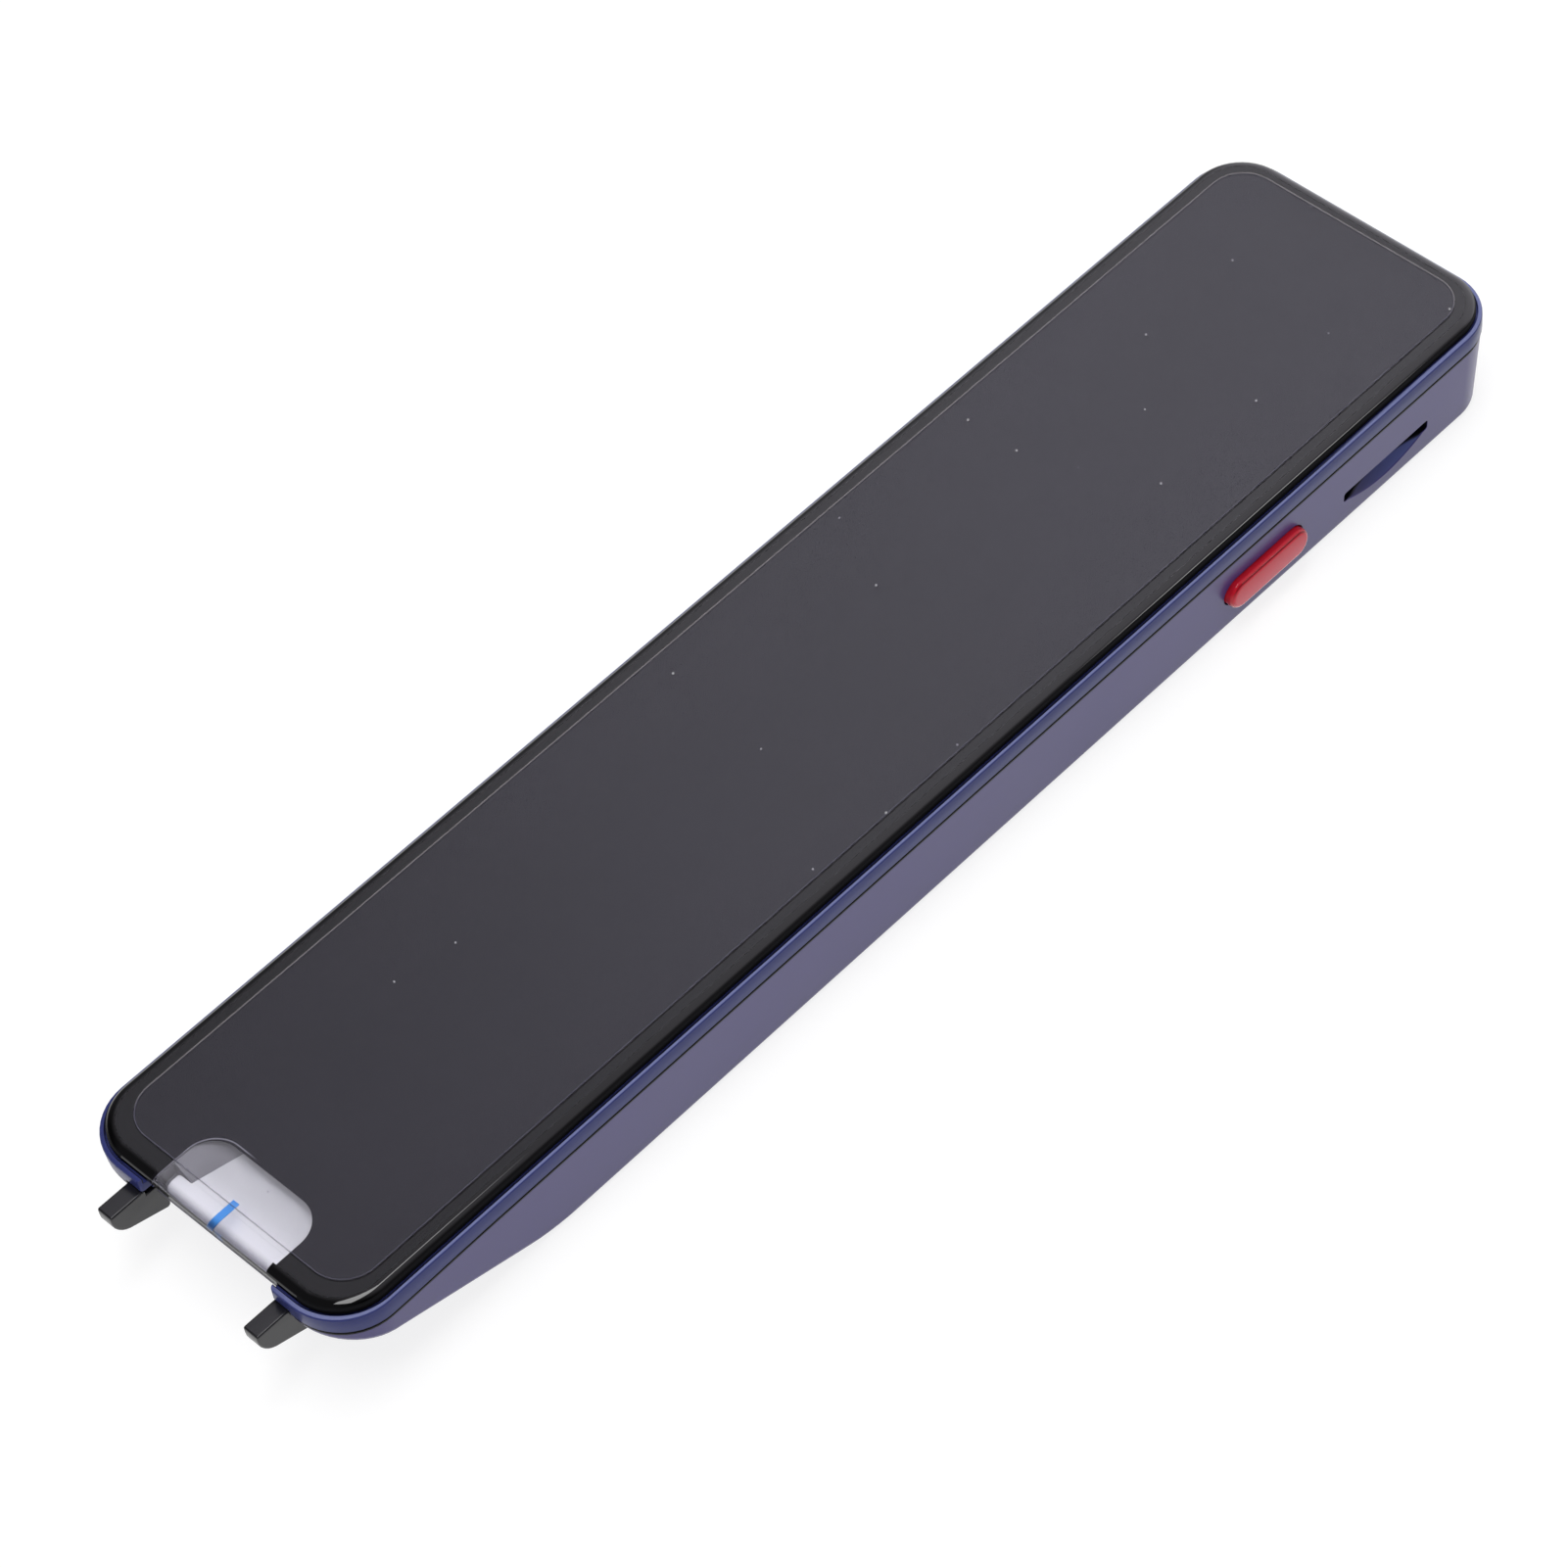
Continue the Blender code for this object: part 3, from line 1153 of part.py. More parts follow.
def build_battery_pad(look):
    low = HOUSING_FLOOR + THIN_GAP
    return box("battery_pad", *battery_sides(PAD_MARGIN), (low, low + PAD_THICKNESS), look)


def build_main_board(look):
    return box("main_board", (-BOARD_HALF_WIDTH, BOARD_HALF_WIDTH),
               (BOARD_FRONT, BOARD_FRONT + BOARD_LENGTH), (BOARD_LEVEL, BOARD_TOP), look)


def build_tail_board(look):
    back = BODY_BACK - TAIL_BOARD_SETBACK
    return box("tail_board", (-TAIL_BOARD_HALF_WIDTH, TAIL_BOARD_HALF_WIDTH),
               (back - TAIL_BOARD_LENGTH, back),
               (TAIL_BOARD_LEVEL, TAIL_BOARD_LEVEL + BOARD_THICKNESS), look)


def build_port_shell(look):
    """The charging port's shell, closed at its back."""
    back = PORT_FRONT - PORT_LENGTH
    shell = end_plate("port_shell", stadium((0.0, PORT_LEVEL), PORT_WIDTH, PORT_HEIGHT),
                      (back, PORT_FRONT), look)
    mouth = stadium((0.0, PORT_LEVEL), PORT_WIDTH - 2 * PORT_WALL, PORT_HEIGHT - 2 * PORT_WALL)
    cut(shell, end_plate("port_mouth_guide", mouth, (back + PORT_BACK,
                                                     PORT_FRONT + CUT_OVERRUN)))
    return shell


def build_port_tongue(look):
    back = PORT_FRONT - PORT_LENGTH + PORT_BACK + THIN_GAP
    return box("port_tongue", centred(0.0, TONGUE_WIDTH), (back, PORT_FRONT - TONGUE_SETBACK),
               centred(PORT_LEVEL, TONGUE_THICKNESS), look)


def build_tail_microphone(look):
    back = BODY_BACK - LEDGE_SIDE_WIDTH - FIT_GAP
    low = CHASSIS_TOP + FIT_GAP
    return box("tail_microphone", centred(0.0, MIC_WIDTH), (back - MIC_LENGTH, back),
               (low, low + MIC_HEIGHT), look)


def build_speaker(look):
    outline = round_rectangle(centred(SPEAKER_CENTRE_ACROSS, SPEAKER_WIDTH),
                              centred(SPEAKER_CENTRE_ALONG, SPEAKER_LENGTH),
                              SPEAKER_CORNER, SLOT_CORNER_STEPS)
    return plate("speaker", outline, (SPEAKER_BOTTOM, SPEAKER_BOTTOM + SPEAKER_THICKNESS),
                 look)


def build_speaker_seal(look):
    """The foam ring between the speaker and the grille."""
    low = HOUSING_FLOOR + THIN_GAP
    x = centred(SPEAKER_CENTRE_ACROSS, SPEAKER_WIDTH)
    y = centred(SPEAKER_CENTRE_ALONG, SPEAKER_LENGTH)
    seal = box("speaker_seal", x, y, (low, low + SEAL_THICKNESS), look)
    inner_x = (x[0] + SEAL_WIDTH, x[1] - SEAL_WIDTH)
    inner_y = (y[0] + SEAL_WIDTH, y[1] - SEAL_WIDTH)
    cut(seal, box("seal_guide", inner_x, inner_y, (0.0, low + CUT_OVERRUN)))
    return seal


def build_top():
    """The glass, its frame and what lies under it."""
    build_trim_frame(finish("frame_paint", (0.070, 0.080, 0.180), 0.34, 0.6))
    build_cover_glass(finish("glass", (0.030, 0.030, 0.036), 0.06))
    build_protective_film(finish("film", (0.062, 0.060, 0.074), 0.30))
    build_glass_print(finish("black_print", (0.006, 0.006, 0.007), 0.35))
    build_glass_gasket(finish("adhesive", (0.012, 0.012, 0.012), 0.80))
    build_guide_mark(finish("mark_ink", (0.015, 0.190, 0.620), 0.40))
    build_display_panel(finish("display_glass", (0.012, 0.012, 0.016), 0.15))
    build_display_tray(finish("tray_steel", (0.420, 0.420, 0.420), 0.38, 1.0))


def build_scanner():
    """The scanning nose: chamber, reflector, camera, feet and switch."""
    black = finish("satin_black", (0.020, 0.020, 0.022), 0.38)
    board = finish("board_green", (0.010, 0.085, 0.035), 0.50)
    chip = finish("chip_black", (0.015, 0.015, 0.016), 0.45)
    steel = finish("pin_steel", (0.560, 0.560, 0.570), 0.28, 1.0)
    led = finish("led_white", (0.850, 0.820, 0.620), 0.30)
    build_light_chamber(finish("chamber_grey", (0.150, 0.145, 0.185), 0.45))
    build_scan_reflector(finish("reflector_silver", (0.640, 0.640, 0.650), 0.32, 0.8))
    build_scan_feet(finish("foot_black", (0.022, 0.022, 0.024), 0.42))
    build_scan_plunger(steel)
    build_scan_switch(black)
    build_camera_lens(chip)
    build_camera_bracket(black)
    build_camera_module(chip)
    build_camera_board(board)
    build_scan_led("scan_led_left", -1, led)
    build_scan_led("scan_led_right", 1, led)


def build_inside():
    """The chassis, boards, battery, speaker and port."""
    board = bpy.data.materials["board_green"]
    chip = bpy.data.materials["chip_black"]
    black = bpy.data.materials["satin_black"]
    steel = bpy.data.materials["pin_steel"]
    screw = finish("screw_steel", (0.300, 0.300, 0.310), 0.35, 1.0)
    foam = finish("foam_black", (0.020, 0.020, 0.020), 0.90)
    build_inner_chassis(finish("chassis_metal", (0.380, 0.385, 0.395), 0.42, 1.0))
    for i, place in enumerate(boss_places()):
        build_chassis_screw(f"chassis_screw_{i + 1}", place, screw)
    build_main_board(board)
    on_board("processor_shield", SHIELD_WIDTH, SHIELD_LENGTH, SHIELD_HEIGHT, SHIELD_SETBACK,
             steel)
    on_board("memory_chip", MEMORY_WIDTH, MEMORY_LENGTH, MEMORY_HEIGHT, MEMORY_SETBACK, chip)
    build_display_flex(finish("flex_amber", (0.420, 0.170, 0.030), 0.40))
    build_battery(finish("battery_foil", (0.330, 0.335, 0.345), 0.36, 0.7))
    build_battery_pad(foam)
    build_tail_board(board)
    build_port_shell(steel)
    build_port_tongue(black)
    build_tail_microphone(finish("microphone_gold", (0.600, 0.460, 0.200), 0.35, 1.0))
    build_speaker(black)
    build_speaker_seal(foam)


def build_side():
    """The housing with its red button and the button's switch."""
    build_lower_housing(finish("housing_paint", (0.135, 0.125, 0.225), 0.36, 0.35))
    build_button_cap(finish("button_red", (0.520, 0.030, 0.060), 0.30))
    build_side_plunger(bpy.data.materials["satin_black"])
    build_side_switch(bpy.data.materials["pin_steel"])
    build_side_switch_board(bpy.data.materials["board_green"])


def main():
    for old in list(bpy.data.objects):
        bpy.data.objects.remove(old, do_unlink=True)
    build_top()
    build_scanner()
    build_inside()
    build_side()


main()
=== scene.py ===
"""Scanning pen on a white table: finishes, finer shapes, studio light and the camera."""
from math import cos, pi, radians, sin

import bmesh
import bpy
from bpy.props import FloatProperty, FloatVectorProperty, PointerProperty
from mathutils import Matrix, Vector


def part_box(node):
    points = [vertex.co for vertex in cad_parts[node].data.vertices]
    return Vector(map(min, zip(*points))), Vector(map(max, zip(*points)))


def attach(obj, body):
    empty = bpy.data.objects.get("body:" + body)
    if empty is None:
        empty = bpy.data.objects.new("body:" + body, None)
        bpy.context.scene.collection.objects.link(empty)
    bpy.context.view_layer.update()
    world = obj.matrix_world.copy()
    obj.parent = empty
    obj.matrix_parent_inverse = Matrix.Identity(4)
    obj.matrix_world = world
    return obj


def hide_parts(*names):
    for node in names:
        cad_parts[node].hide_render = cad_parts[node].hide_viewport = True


bl_info = {
    "name": "Scanning pen",
    "version": (1, 0, 0),
    "blender": (4, 5, 0),
    "location": "3D View > Sidebar > Pen",
    "description": "Dresses the scanning pen's packed model and sets its studio",
    "category": "Object",
}

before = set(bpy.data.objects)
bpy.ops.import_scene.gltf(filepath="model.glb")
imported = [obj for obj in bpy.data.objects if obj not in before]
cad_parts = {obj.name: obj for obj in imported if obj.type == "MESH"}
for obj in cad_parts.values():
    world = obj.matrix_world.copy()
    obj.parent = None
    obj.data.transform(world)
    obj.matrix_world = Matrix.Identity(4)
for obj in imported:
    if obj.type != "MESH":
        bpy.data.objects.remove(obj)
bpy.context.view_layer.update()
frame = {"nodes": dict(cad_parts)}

MM = 0.001
MERGE_DISTANCE = 0.001 * MM
FLAT_ANGLE = radians(0.4)
SHARP_ANGLE = radians(32)
FOOT_SHARP_ANGLE = radians(50)
EDGE_SEGMENTS = 2
FLAT_WEIGHT = 100
STEEP = 0.70
GLASS_FOOT = 0.05 * MM
ROUNDING_SHARE = 0.65
FILM_AIR = 0.01 * MM


# Sizes and colours that a user would change

def length(name, description, default):
    """A length property in metres."""
    return FloatProperty(name=name, description=description, default=default, min=0.0,
                         precision=5, subtype="DISTANCE", unit="LENGTH")


def colour(name, description, default):
    """A linear colour property."""
    return FloatVectorProperty(name=name, description=description, default=default, size=3,
                               min=0.0, max=1.0, subtype="COLOR")


class PenSizes(bpy.types.PropertyGroup):
    """Sizes of the finer shapes and of the places where a finish changes"""
    moulding_edge: length("Moulding edge", "Rounding of the housing's cut edges", 0.05 * MM)
    frame_edge: length("Frame edge", "Rounding of the trim frame's cut edges", 0.05 * MM)
    plate_edge: length("Plate edge", "Rounding of the reflector and chamber edges", 0.05 * MM)
    print_bond: length("Print bond", "How far the print is sunk into the glass", 0.09 * MM)
    glass_rim: length("Glass rim", "Width of the glass's black rim", 1.00 * MM)
    glass_corner: length("Glass corner", "Corner radius of the glass", 5.30 * MM)
    window_half: length("Window half width", "Half the scanning window's width", 7.43 * MM)
    window_depth: length("Window depth", "Scanning window's reach from the nose", 8.00 * MM)
    window_corner: length("Window corner", "Corner radius of the window", 3.20 * MM)
    screen_corner: length("Screen corner", "Corner radius of the screen", 2.00 * MM)
    film_corner: length("Film corner", "Corner radius of the film", 3.80 * MM)
    film_line: length("Film line", "Width of the line along the film's edge", 0.15 * MM)
    slot_along: length("Cord slot along", "Cord slot's middle from the pen's", 60.2 * MM)
    slot_half: length("Cord slot half", "Half the cord slot's length", 6.60 * MM)
    slot_floor: length("Cord slot floor", "Height of the cord slot's straight edge", 3.50 * MM)


class PenColours(bpy.types.PropertyGroup):
    """Colours of the pieces that show"""
    paint: colour("Paint", "Lilac-blue paint of the housing", (0.056, 0.044, 0.186))
    # Painted shade: a near black that stands for the shade in the seam and in the slot's pocket
    gap: colour("Gap", "Near black of the seam and the slot's pocket", (0.004, 0.004, 0.008))
    frame: colour("Frame", "Deeper blue of the frame round the glass", (0.036, 0.044, 0.172))
    # Painted highlight, not wear: this paler colour stands for light caught on the frame's top
    # edge
    lip: colour("Frame lip", "Worn paler lip of the frame", (0.180, 0.200, 0.400))
    # Painted shade and highlight: the scooped lip is painted a darker navy, growing to a
    # brighter blue at its tail end, in place of light on its curve
    slot: colour("Cord slot", "Navy of the cord slot's scooped lip", (0.046, 0.040, 0.110))
    painted_slot_highlight: colour("Cord slot, tail end", "Brighter blue of the slot's tail end",
                        (0.080, 0.096, 0.270))
    button: colour("Button", "Red of the side button", (0.600, 0.010, 0.026))
    # Painted reflection: the paler face stands for the pale surroundings mirrored in it
    painted_face_sheen: colour("Button face", "Paler face of the side button", (0.640, 0.020, 0.055))
    # Painted shade: a dark line where the face meets its rounded upper edge
    painted_line_shade: colour("Button line", "Dark line above the button's face",
                        (0.090, 0.000, 0.003))
    feet: colour("Feet", "Charcoal of the scanning feet", (0.010, 0.010, 0.012))
    mark: colour("Guide mark", "Blue of the guide mark", (0.001, 0.180, 0.580))
    chamber: colour("Light chamber", "Lilac-grey of the light chamber", (0.085, 0.081, 0.106))
    reflector: colour("Reflector", "Silver of the reflector", (0.500, 0.495, 0.550))
    glass: colour("Glass", "Clear part of the cover glass", (0.985, 0.985, 0.990))
    # Painted shade: darkens the glass's rounded edge at the window in place of the shade seen
    # through it
    painted_window_edge_shade: colour("Ground glass", "Rounded edge of the glass at the window",
                         (0.130, 0.125, 0.160))
    print_cut: colour("Print's cut", "Pale cut of the print at the window's left",
                      (0.160, 0.155, 0.190))
    # Partly painted reflection: the film's real haze, raised towards the tail in place of
    # reflection
    haze: colour("Film haze", "Cast of the protective film", (0.500, 0.470, 0.700))
    film_speck: colour("Film specks", "Specks and scratches of the film",
                       (0.850, 0.850, 0.850))
    # Painted highlight and shade: the film's edge line is painted light at its left and tail,
    # and dark at its right and nose
    film_line_lit: colour("Film line, lit", "The film's edge line at its left and tail",
                          (0.620, 0.580, 0.560))
    film_line_shaded: colour("Film line, dark", "The film's edge line at its right and nose",
                           (0.030, 0.030, 0.032))
    floor: colour("Floor", "The table under the pen", (0.900, 0.900, 0.900))


class StudioSettings(bpy.types.PropertyGroup):
    """Where the camera stands, and the light that no lamp gives"""
    azimuth: FloatProperty(name="Azimuth", description="Camera's turn from -Y towards +X",
                           default=radians(50.2129), subtype="ANGLE", unit="ROTATION")
    elevation: FloatProperty(name="Elevation", description="Camera's height angle",
                             default=radians(50.8245), subtype="ANGLE", unit="ROTATION")
    roll: FloatProperty(name="Roll", description="Camera's turn about its own axis",
                        default=radians(-8.2886), subtype="ANGLE", unit="ROTATION")
    distance: length("Distance", "From the camera to the glass's middle", 503.64 * MM)
    offset_right: length("Offset right", "How far right the glass's middle is seen", 3.722 * MM)
    offset_up: length("Offset up", "How far up the glass's middle is seen", 8.889 * MM)
    focal: FloatProperty(name="Focal length", description="Lens on a 36 mm wide sensor",
                         default=126.107, subtype="DISTANCE_CAMERA", unit="CAMERA")
    ambient: FloatProperty(name="Ambient", description="Strength of the studio's fill light",
                           default=0.38, min=0.0)
    table_glow: FloatProperty(name="Table glow", description="White that the lit table adds",
                              default=0.82, min=0.0)


# Shapes

def node_shape(node):
    """A merged copy of a CAD node's shape, its flat faces whole again."""
    shape = bmesh.new()
    shape.from_mesh(frame["nodes"][node].data)
    bmesh.ops.remove_doubles(shape, verts=shape.verts, dist=MERGE_DISTANCE)
    bmesh.ops.dissolve_limit(shape, angle_limit=FLAT_ANGLE, verts=shape.verts,
                             edges=shape.edges, delimit={"NORMAL"})
    return shape


def finish_piece(name, shape, body, node, sharp=SHARP_ANGLE):
    """Make a bmesh a smooth-shaded piece that rides on a body and replaces a node."""
    for face in shape.faces:
        face.smooth = True
    mesh = bpy.data.meshes.new(name)
    shape.to_mesh(mesh)
    shape.free()
    mesh.set_sharp_from_angle(angle=sharp)
    piece = bpy.data.objects.new(name, mesh)
    bpy.context.scene.collection.objects.link(piece)
    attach(piece, body)
    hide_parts(node)
    return piece


def round_edges(piece, width):
    """Round a piece's sharp edges and keep its flat faces flat in the light."""
    bevel = piece.modifiers.new("edges", "BEVEL")
    bevel.width = width
    bevel.segments = EDGE_SEGMENTS
    bevel.limit_method = "ANGLE"
    bevel.angle_limit = SHARP_ANGLE
    bevel.harden_normals = True
    keep_flat(piece)


def keep_flat(piece):
    """Let large faces set the normals, so that roundings don't shade them."""
    weighted = piece.modifiers.new("flat_faces", "WEIGHTED_NORMAL")
    weighted.keep_sharp = True
    weighted.weight = FLAT_WEIGHT


def dress(piece, material):
    """Give a new piece or a CAD node its finish."""
    piece.data.materials.clear()
    piece.data.materials.append(material)


# Node graphs

WHITE = (1.0, 1.0, 1.0, 1.0)
BLACK = (0.0, 0.0, 0.0, 1.0)
MIX_INPUTS = (0, 6, 7)
MIX_RESULT = 2
NOISE_BAND = (0.3, 0.7)


def rgba(colour_value, shade=1.0):
    """A colour for a socket, darkened or lightened by a share."""
    return (*(channel * shade for channel in colour_value), 1.0)


class Graph:
    """Adds nodes to a node tree and links them by socket name."""

    def __init__(self, tree):
        self.tree = tree

    def add(self, kind, settings=None, **inputs):
        """Add a node with its own settings and its inputs."""
        node = self.tree.nodes.new(kind)
        for name, value in (settings or {}).items():
            setattr(node, name, value)
        for name, value in inputs.items():
            self.feed(node, name.replace("_", " "), value)
        return node

    def feed(self, node, name, value):
        """Link a socket to an input, or set the input's own value."""
        socket = node.inputs[name]
        if isinstance(value, bpy.types.NodeSocket):
            self.tree.links.new(value, socket)
        else:
            socket.default_value = value

    def math(self, operation, *values):
        """The outcome of a Math node."""
        node = self.add("ShaderNodeMath", {"operation": operation})
        for i, value in enumerate(values):
            self.feed(node, i, value)
        return node.outputs[0]

    def less(self, value, taken):
        """A value with another taken off."""
        return self.math("SUBTRACT", value, taken)

    def times(self, product, *values):
        """The product of all the values."""
        for value in values:
            product = self.math("MULTIPLY", product, value)
        return product

    def most(self, one, other):
        """The larger of two values."""
        return self.math("MAXIMUM", one, other)

    def ramp(self, value, low, high, start=0.0, end=1.0, kind="SMOOTHSTEP"):
        """Map a value from low..high to start..end, smoothly at both ends."""
        node = self.add("ShaderNodeMapRange", {"interpolation_type": kind},
                        Value=value, From_Min=low, From_Max=high, To_Min=start, To_Max=end)
        return node.outputs["Result"]

    def slope(self, value, low, high, start, end):
        """Map a value from low..high to start..end in a straight line."""
        return self.ramp(value, low, high, start, end, "LINEAR")

    def mix(self, share, one, other):
        """Blend two colours."""
        node = self.add("ShaderNodeMix", {"data_type": "RGBA", "clamp_factor": True})
        for i, value in zip(MIX_INPUTS, (share, one, other)):
            self.feed(node, i, value)
        return node.outputs[MIX_RESULT]

    def choose(self, share, one, other):
        """Blend two shaders."""
        node = self.add("ShaderNodeMixShader")
        for i, value in enumerate((share, one, other)):
            self.feed(node, i, value)
        return node.outputs["Shader"]

    def axes(self, vector):
        """X, Y and Z of a vector."""
        return self.add("ShaderNodeSeparateXYZ", Vector=vector).outputs

    def effect(self, name, **inputs):
        """Place a shared effect group, which is built the first time it is asked for."""
        tree = bpy.data.node_groups.get(name) or EFFECTS[name]()
        return self.add("ShaderNodeGroup", {"node_tree": tree}, **inputs).outputs

    def seen_directly(self, rays):
        """One for camera, glossy and transmission rays."""
        mirrored = self.most(rays["Is Glossy Ray"], rays["Is Transmission Ray"])
        return self.most(rays["Is Camera Ray"], mirrored)


class Finish(Graph):
    """A new material: its Principled shader, and the place on the surface in its piece."""

    def __init__(self, name):
        self.material = bpy.data.materials.new(name)
        self.material.use_nodes = True
        super().__init__(self.material.node_tree)
        self.shader = self.tree.nodes["Principled BSDF"]
        self.place = self.add("ShaderNodeTexCoord").outputs["Object"]
        self.x, self.y, self.z = self.axes(self.place)

    def set(self, **values):
        """Feed the shader's sockets, or set their own values."""
        for name, value in values.items():
            self.feed(self.shader, name.replace("_", " "), value)

    def skin(self, grain, wave, vector=None):
        """Fine Grain and slow Wave over the surface, in cells to the metre."""
        return self.effect("moulded_skin", Vector=self.place if vector is None else vector,
                           Grain_Scale=grain, Wave_Scale=wave)

    def specks(self, vector, cells, size, cover):
        """Sparse small specks, one at most in each cell."""
        return self.effect("dust", Vector=vector, Cell_Scale=cells, Speck_Size=size,
                           Cover=cover)["Specks"]

    def inside(self, low, high, radius):
        """Distance inside the rounded rectangle that fills the box from low to high."""
        return self.effect("rounded_outline", Vector=self.place, Radius=radius,
                           Centre_X=(low[0] + high[0]) / 2, Centre_Y=(low[1] + high[1]) / 2,
                           Half_X=(high[0] - low[0]) / 2,
                           Half_Y=(high[1] - low[1]) / 2)["Distance"]

    def tone(self, texture, grain_share):
        """Grain and wave together, the grain by its share."""
        return self.math("ADD", self.times(texture["Grain"], grain_share),
                         self.times(texture["Wave"], 1.0 - grain_share))

    def vary(self, share, base, spread):
        """A colour that goes from a little darker to a little lighter."""
        return self.mix(share, rgba(base, 1.0 - spread), rgba(base, 1.0 + spread))

    def rough(self, noise, smooth, rough):
        """Roughness that follows a noise."""
        return self.ramp(noise, *NOISE_BAND, smooth, rough)

    def bump(self, height, strength, depth):
        """Raise the surface by a height map, at most by a depth in metres."""
        node = self.add("ShaderNodeBump", Height=height, Strength=strength, Distance=depth)
        self.feed(self.shader, "Normal", node.outputs["Normal"])

    def let_lamplight_by(self, passed=WHITE):
        """Let lamplight pass the surface instead of shading what lies under it."""
        rays = self.add("ShaderNodeLightPath").outputs
        passing = self.add("ShaderNodeBsdfTransparent", Color=passed).outputs["BSDF"]
        seen = self.choose(rays["Is Shadow Ray"], self.shader.outputs["BSDF"], passing)
        self.feed(self.tree.nodes["Material Output"], "Surface", seen)


# Shared effects

def effect_group(name, inputs, outputs):
    """A new shader node group with named sockets, as a Graph with its ends."""
    tree = bpy.data.node_groups.new(name, "ShaderNodeTree")
    for socket, kind, default in inputs:
        made = tree.interface.new_socket(socket, in_out="INPUT", socket_type=kind)
        if default is not None:
            made.default_value = default
    for socket in outputs:
        tree.interface.new_socket(socket, in_out="OUTPUT", socket_type="NodeSocketFloat")
    graph = Graph(tree)
    return graph, graph.add("NodeGroupInput").outputs, graph.add("NodeGroupOutput")


def moulded_skin_group():
    """Fine grain and slow waviness of a moulded or painted surface."""
    graph, given, end = effect_group(
        "moulded_skin",
        [("Vector", "NodeSocketVector", None), ("Grain Scale", "NodeSocketFloat", 9000.0),
         ("Wave Scale", "NodeSocketFloat", 60.0)],
        ("Grain", "Wave"))
    grain = graph.add("ShaderNodeTexNoise", Vector=given["Vector"],
                      Scale=given["Grain Scale"], Detail=3.0, Roughness=0.6)
    wave = graph.add("ShaderNodeTexNoise", Vector=given["Vector"],
                     Scale=given["Wave Scale"], Detail=2.0, Roughness=0.5)
    graph.feed(end, "Grain", grain.outputs["Fac"])
    graph.feed(end, "Wave", wave.outputs["Fac"])
    return graph.tree


def dust_group():
    """Sparse small specks of unlike strength."""
    graph, given, end = effect_group(
        "dust",
        [("Vector", "NodeSocketVector", None), ("Cell Scale", "NodeSocketFloat", 300.0),
         ("Speck Size", "NodeSocketFloat", 0.06), ("Cover", "NodeSocketFloat", 0.20)],
        ("Specks",))
    cells = graph.add("ShaderNodeTexVoronoi", {"feature": "F1", "voronoi_dimensions": "2D"},
                      Vector=given["Vector"], Scale=given["Cell Scale"], Randomness=1.0)
    chance = graph.add("ShaderNodeSeparateColor", Color=cells.outputs["Color"]).outputs
    near = graph.math("LESS_THAN", cells.outputs["Distance"], given["Speck Size"])
    kept = graph.math("LESS_THAN", chance["Red"], given["Cover"])
    graph.feed(end, "Specks", graph.times(near, kept, chance["Green"]))
    return graph.tree


def rounded_outline_group():
    """How far inside a rounded rectangle a place lies, seen from above."""
    graph, given, end = effect_group(
        "rounded_outline",
        [("Vector", "NodeSocketVector", None), ("Centre X", "NodeSocketFloat", 0.0),
         ("Centre Y", "NodeSocketFloat", 0.0), ("Half X", "NodeSocketFloat", 0.01),
         ("Half Y", "NodeSocketFloat", 0.01), ("Radius", "NodeSocketFloat", 0.001)],
        ("Distance",))
    at = graph.axes(given["Vector"])
    past = []
    for axis in ("X", "Y"):
        away = graph.math("ABSOLUTE", graph.less(at[axis], given["Centre " + axis]))
        straight = graph.less(given["Half " + axis], given["Radius"])
        past.append(graph.less(away, straight))
    over = [graph.most(share, 0.0) for share in past]
    squares = [graph.times(share, share) for share in over]
    corner = graph.math("SQRT", graph.math("ADD", *squares))
    inner = graph.math("MINIMUM", graph.most(*past), 0.0)
    graph.feed(end, "Distance", graph.less(graph.less(given["Radius"], corner), inner))
    return graph.tree


EFFECTS = {"moulded_skin": moulded_skin_group, "dust": dust_group,
           "rounded_outline": rounded_outline_group}


# Finishes. A band is the two places between which a finish changes, and what ends in
# VALUES is what it changes from and to.

METAL_LINES = 12000.0
TRACK_HALF = 0.06
PAD_SHARE = 0.4
SATIN_BAND = (0.2, 0.8)
PAINT_GRAIN = 14000.0
PAINT_WAVE = 45.0
PAINT_SPREAD = 0.08
COAT_IOR = 1.5
BODY_CORNER = 6.00 * MM
SEAM_DIP = 0.20 * MM
SEAM_DIP_BAND = (6.2 * MM, 18.2 * MM)


def window_depth(finish, sizes):
    """Distance inside the scanning window, open past the nose."""
    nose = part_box("lower_housing")[0].y
    half, deep = sizes.window_half, sizes.window_depth
    return finish.inside((-half, nose - deep), (half, nose + deep), sizes.window_corner)


def wall_depth(finish):
    """Distance inside the body's outline, seen from above."""
    return finish.inside(*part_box("lower_housing"), BODY_CORNER)


def seam_level(finish):
    """Height of the frame's lower edge, which dips towards the nose."""
    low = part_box("trim_frame")[0]
    from_nose = finish.less(finish.y, low.y)
    return finish.ramp(from_nose, *SEAM_DIP_BAND, low.z, low.z + SEAM_DIP)


def satin_material(name, base, roughness, grain=9000.0, depth=0.004 * MM, spread=0.10,
                   specular=0.5):
    """A satin moulded or painted finish with fine grain and slow shade changes."""
    satin = Finish(name)
    texture = satin.skin(grain, wave=70.0)
    tone = satin.tone(texture, grain_share=0.4)
    satin.set(Base_Color=satin.vary(tone, base, spread),
              Roughness=satin.ramp(tone, *SATIN_BAND, roughness - 0.04, roughness + 0.04),
              Specular_IOR_Level=specular)
    satin.bump(texture["Grain"], strength=0.25, depth=depth)
    return satin.material


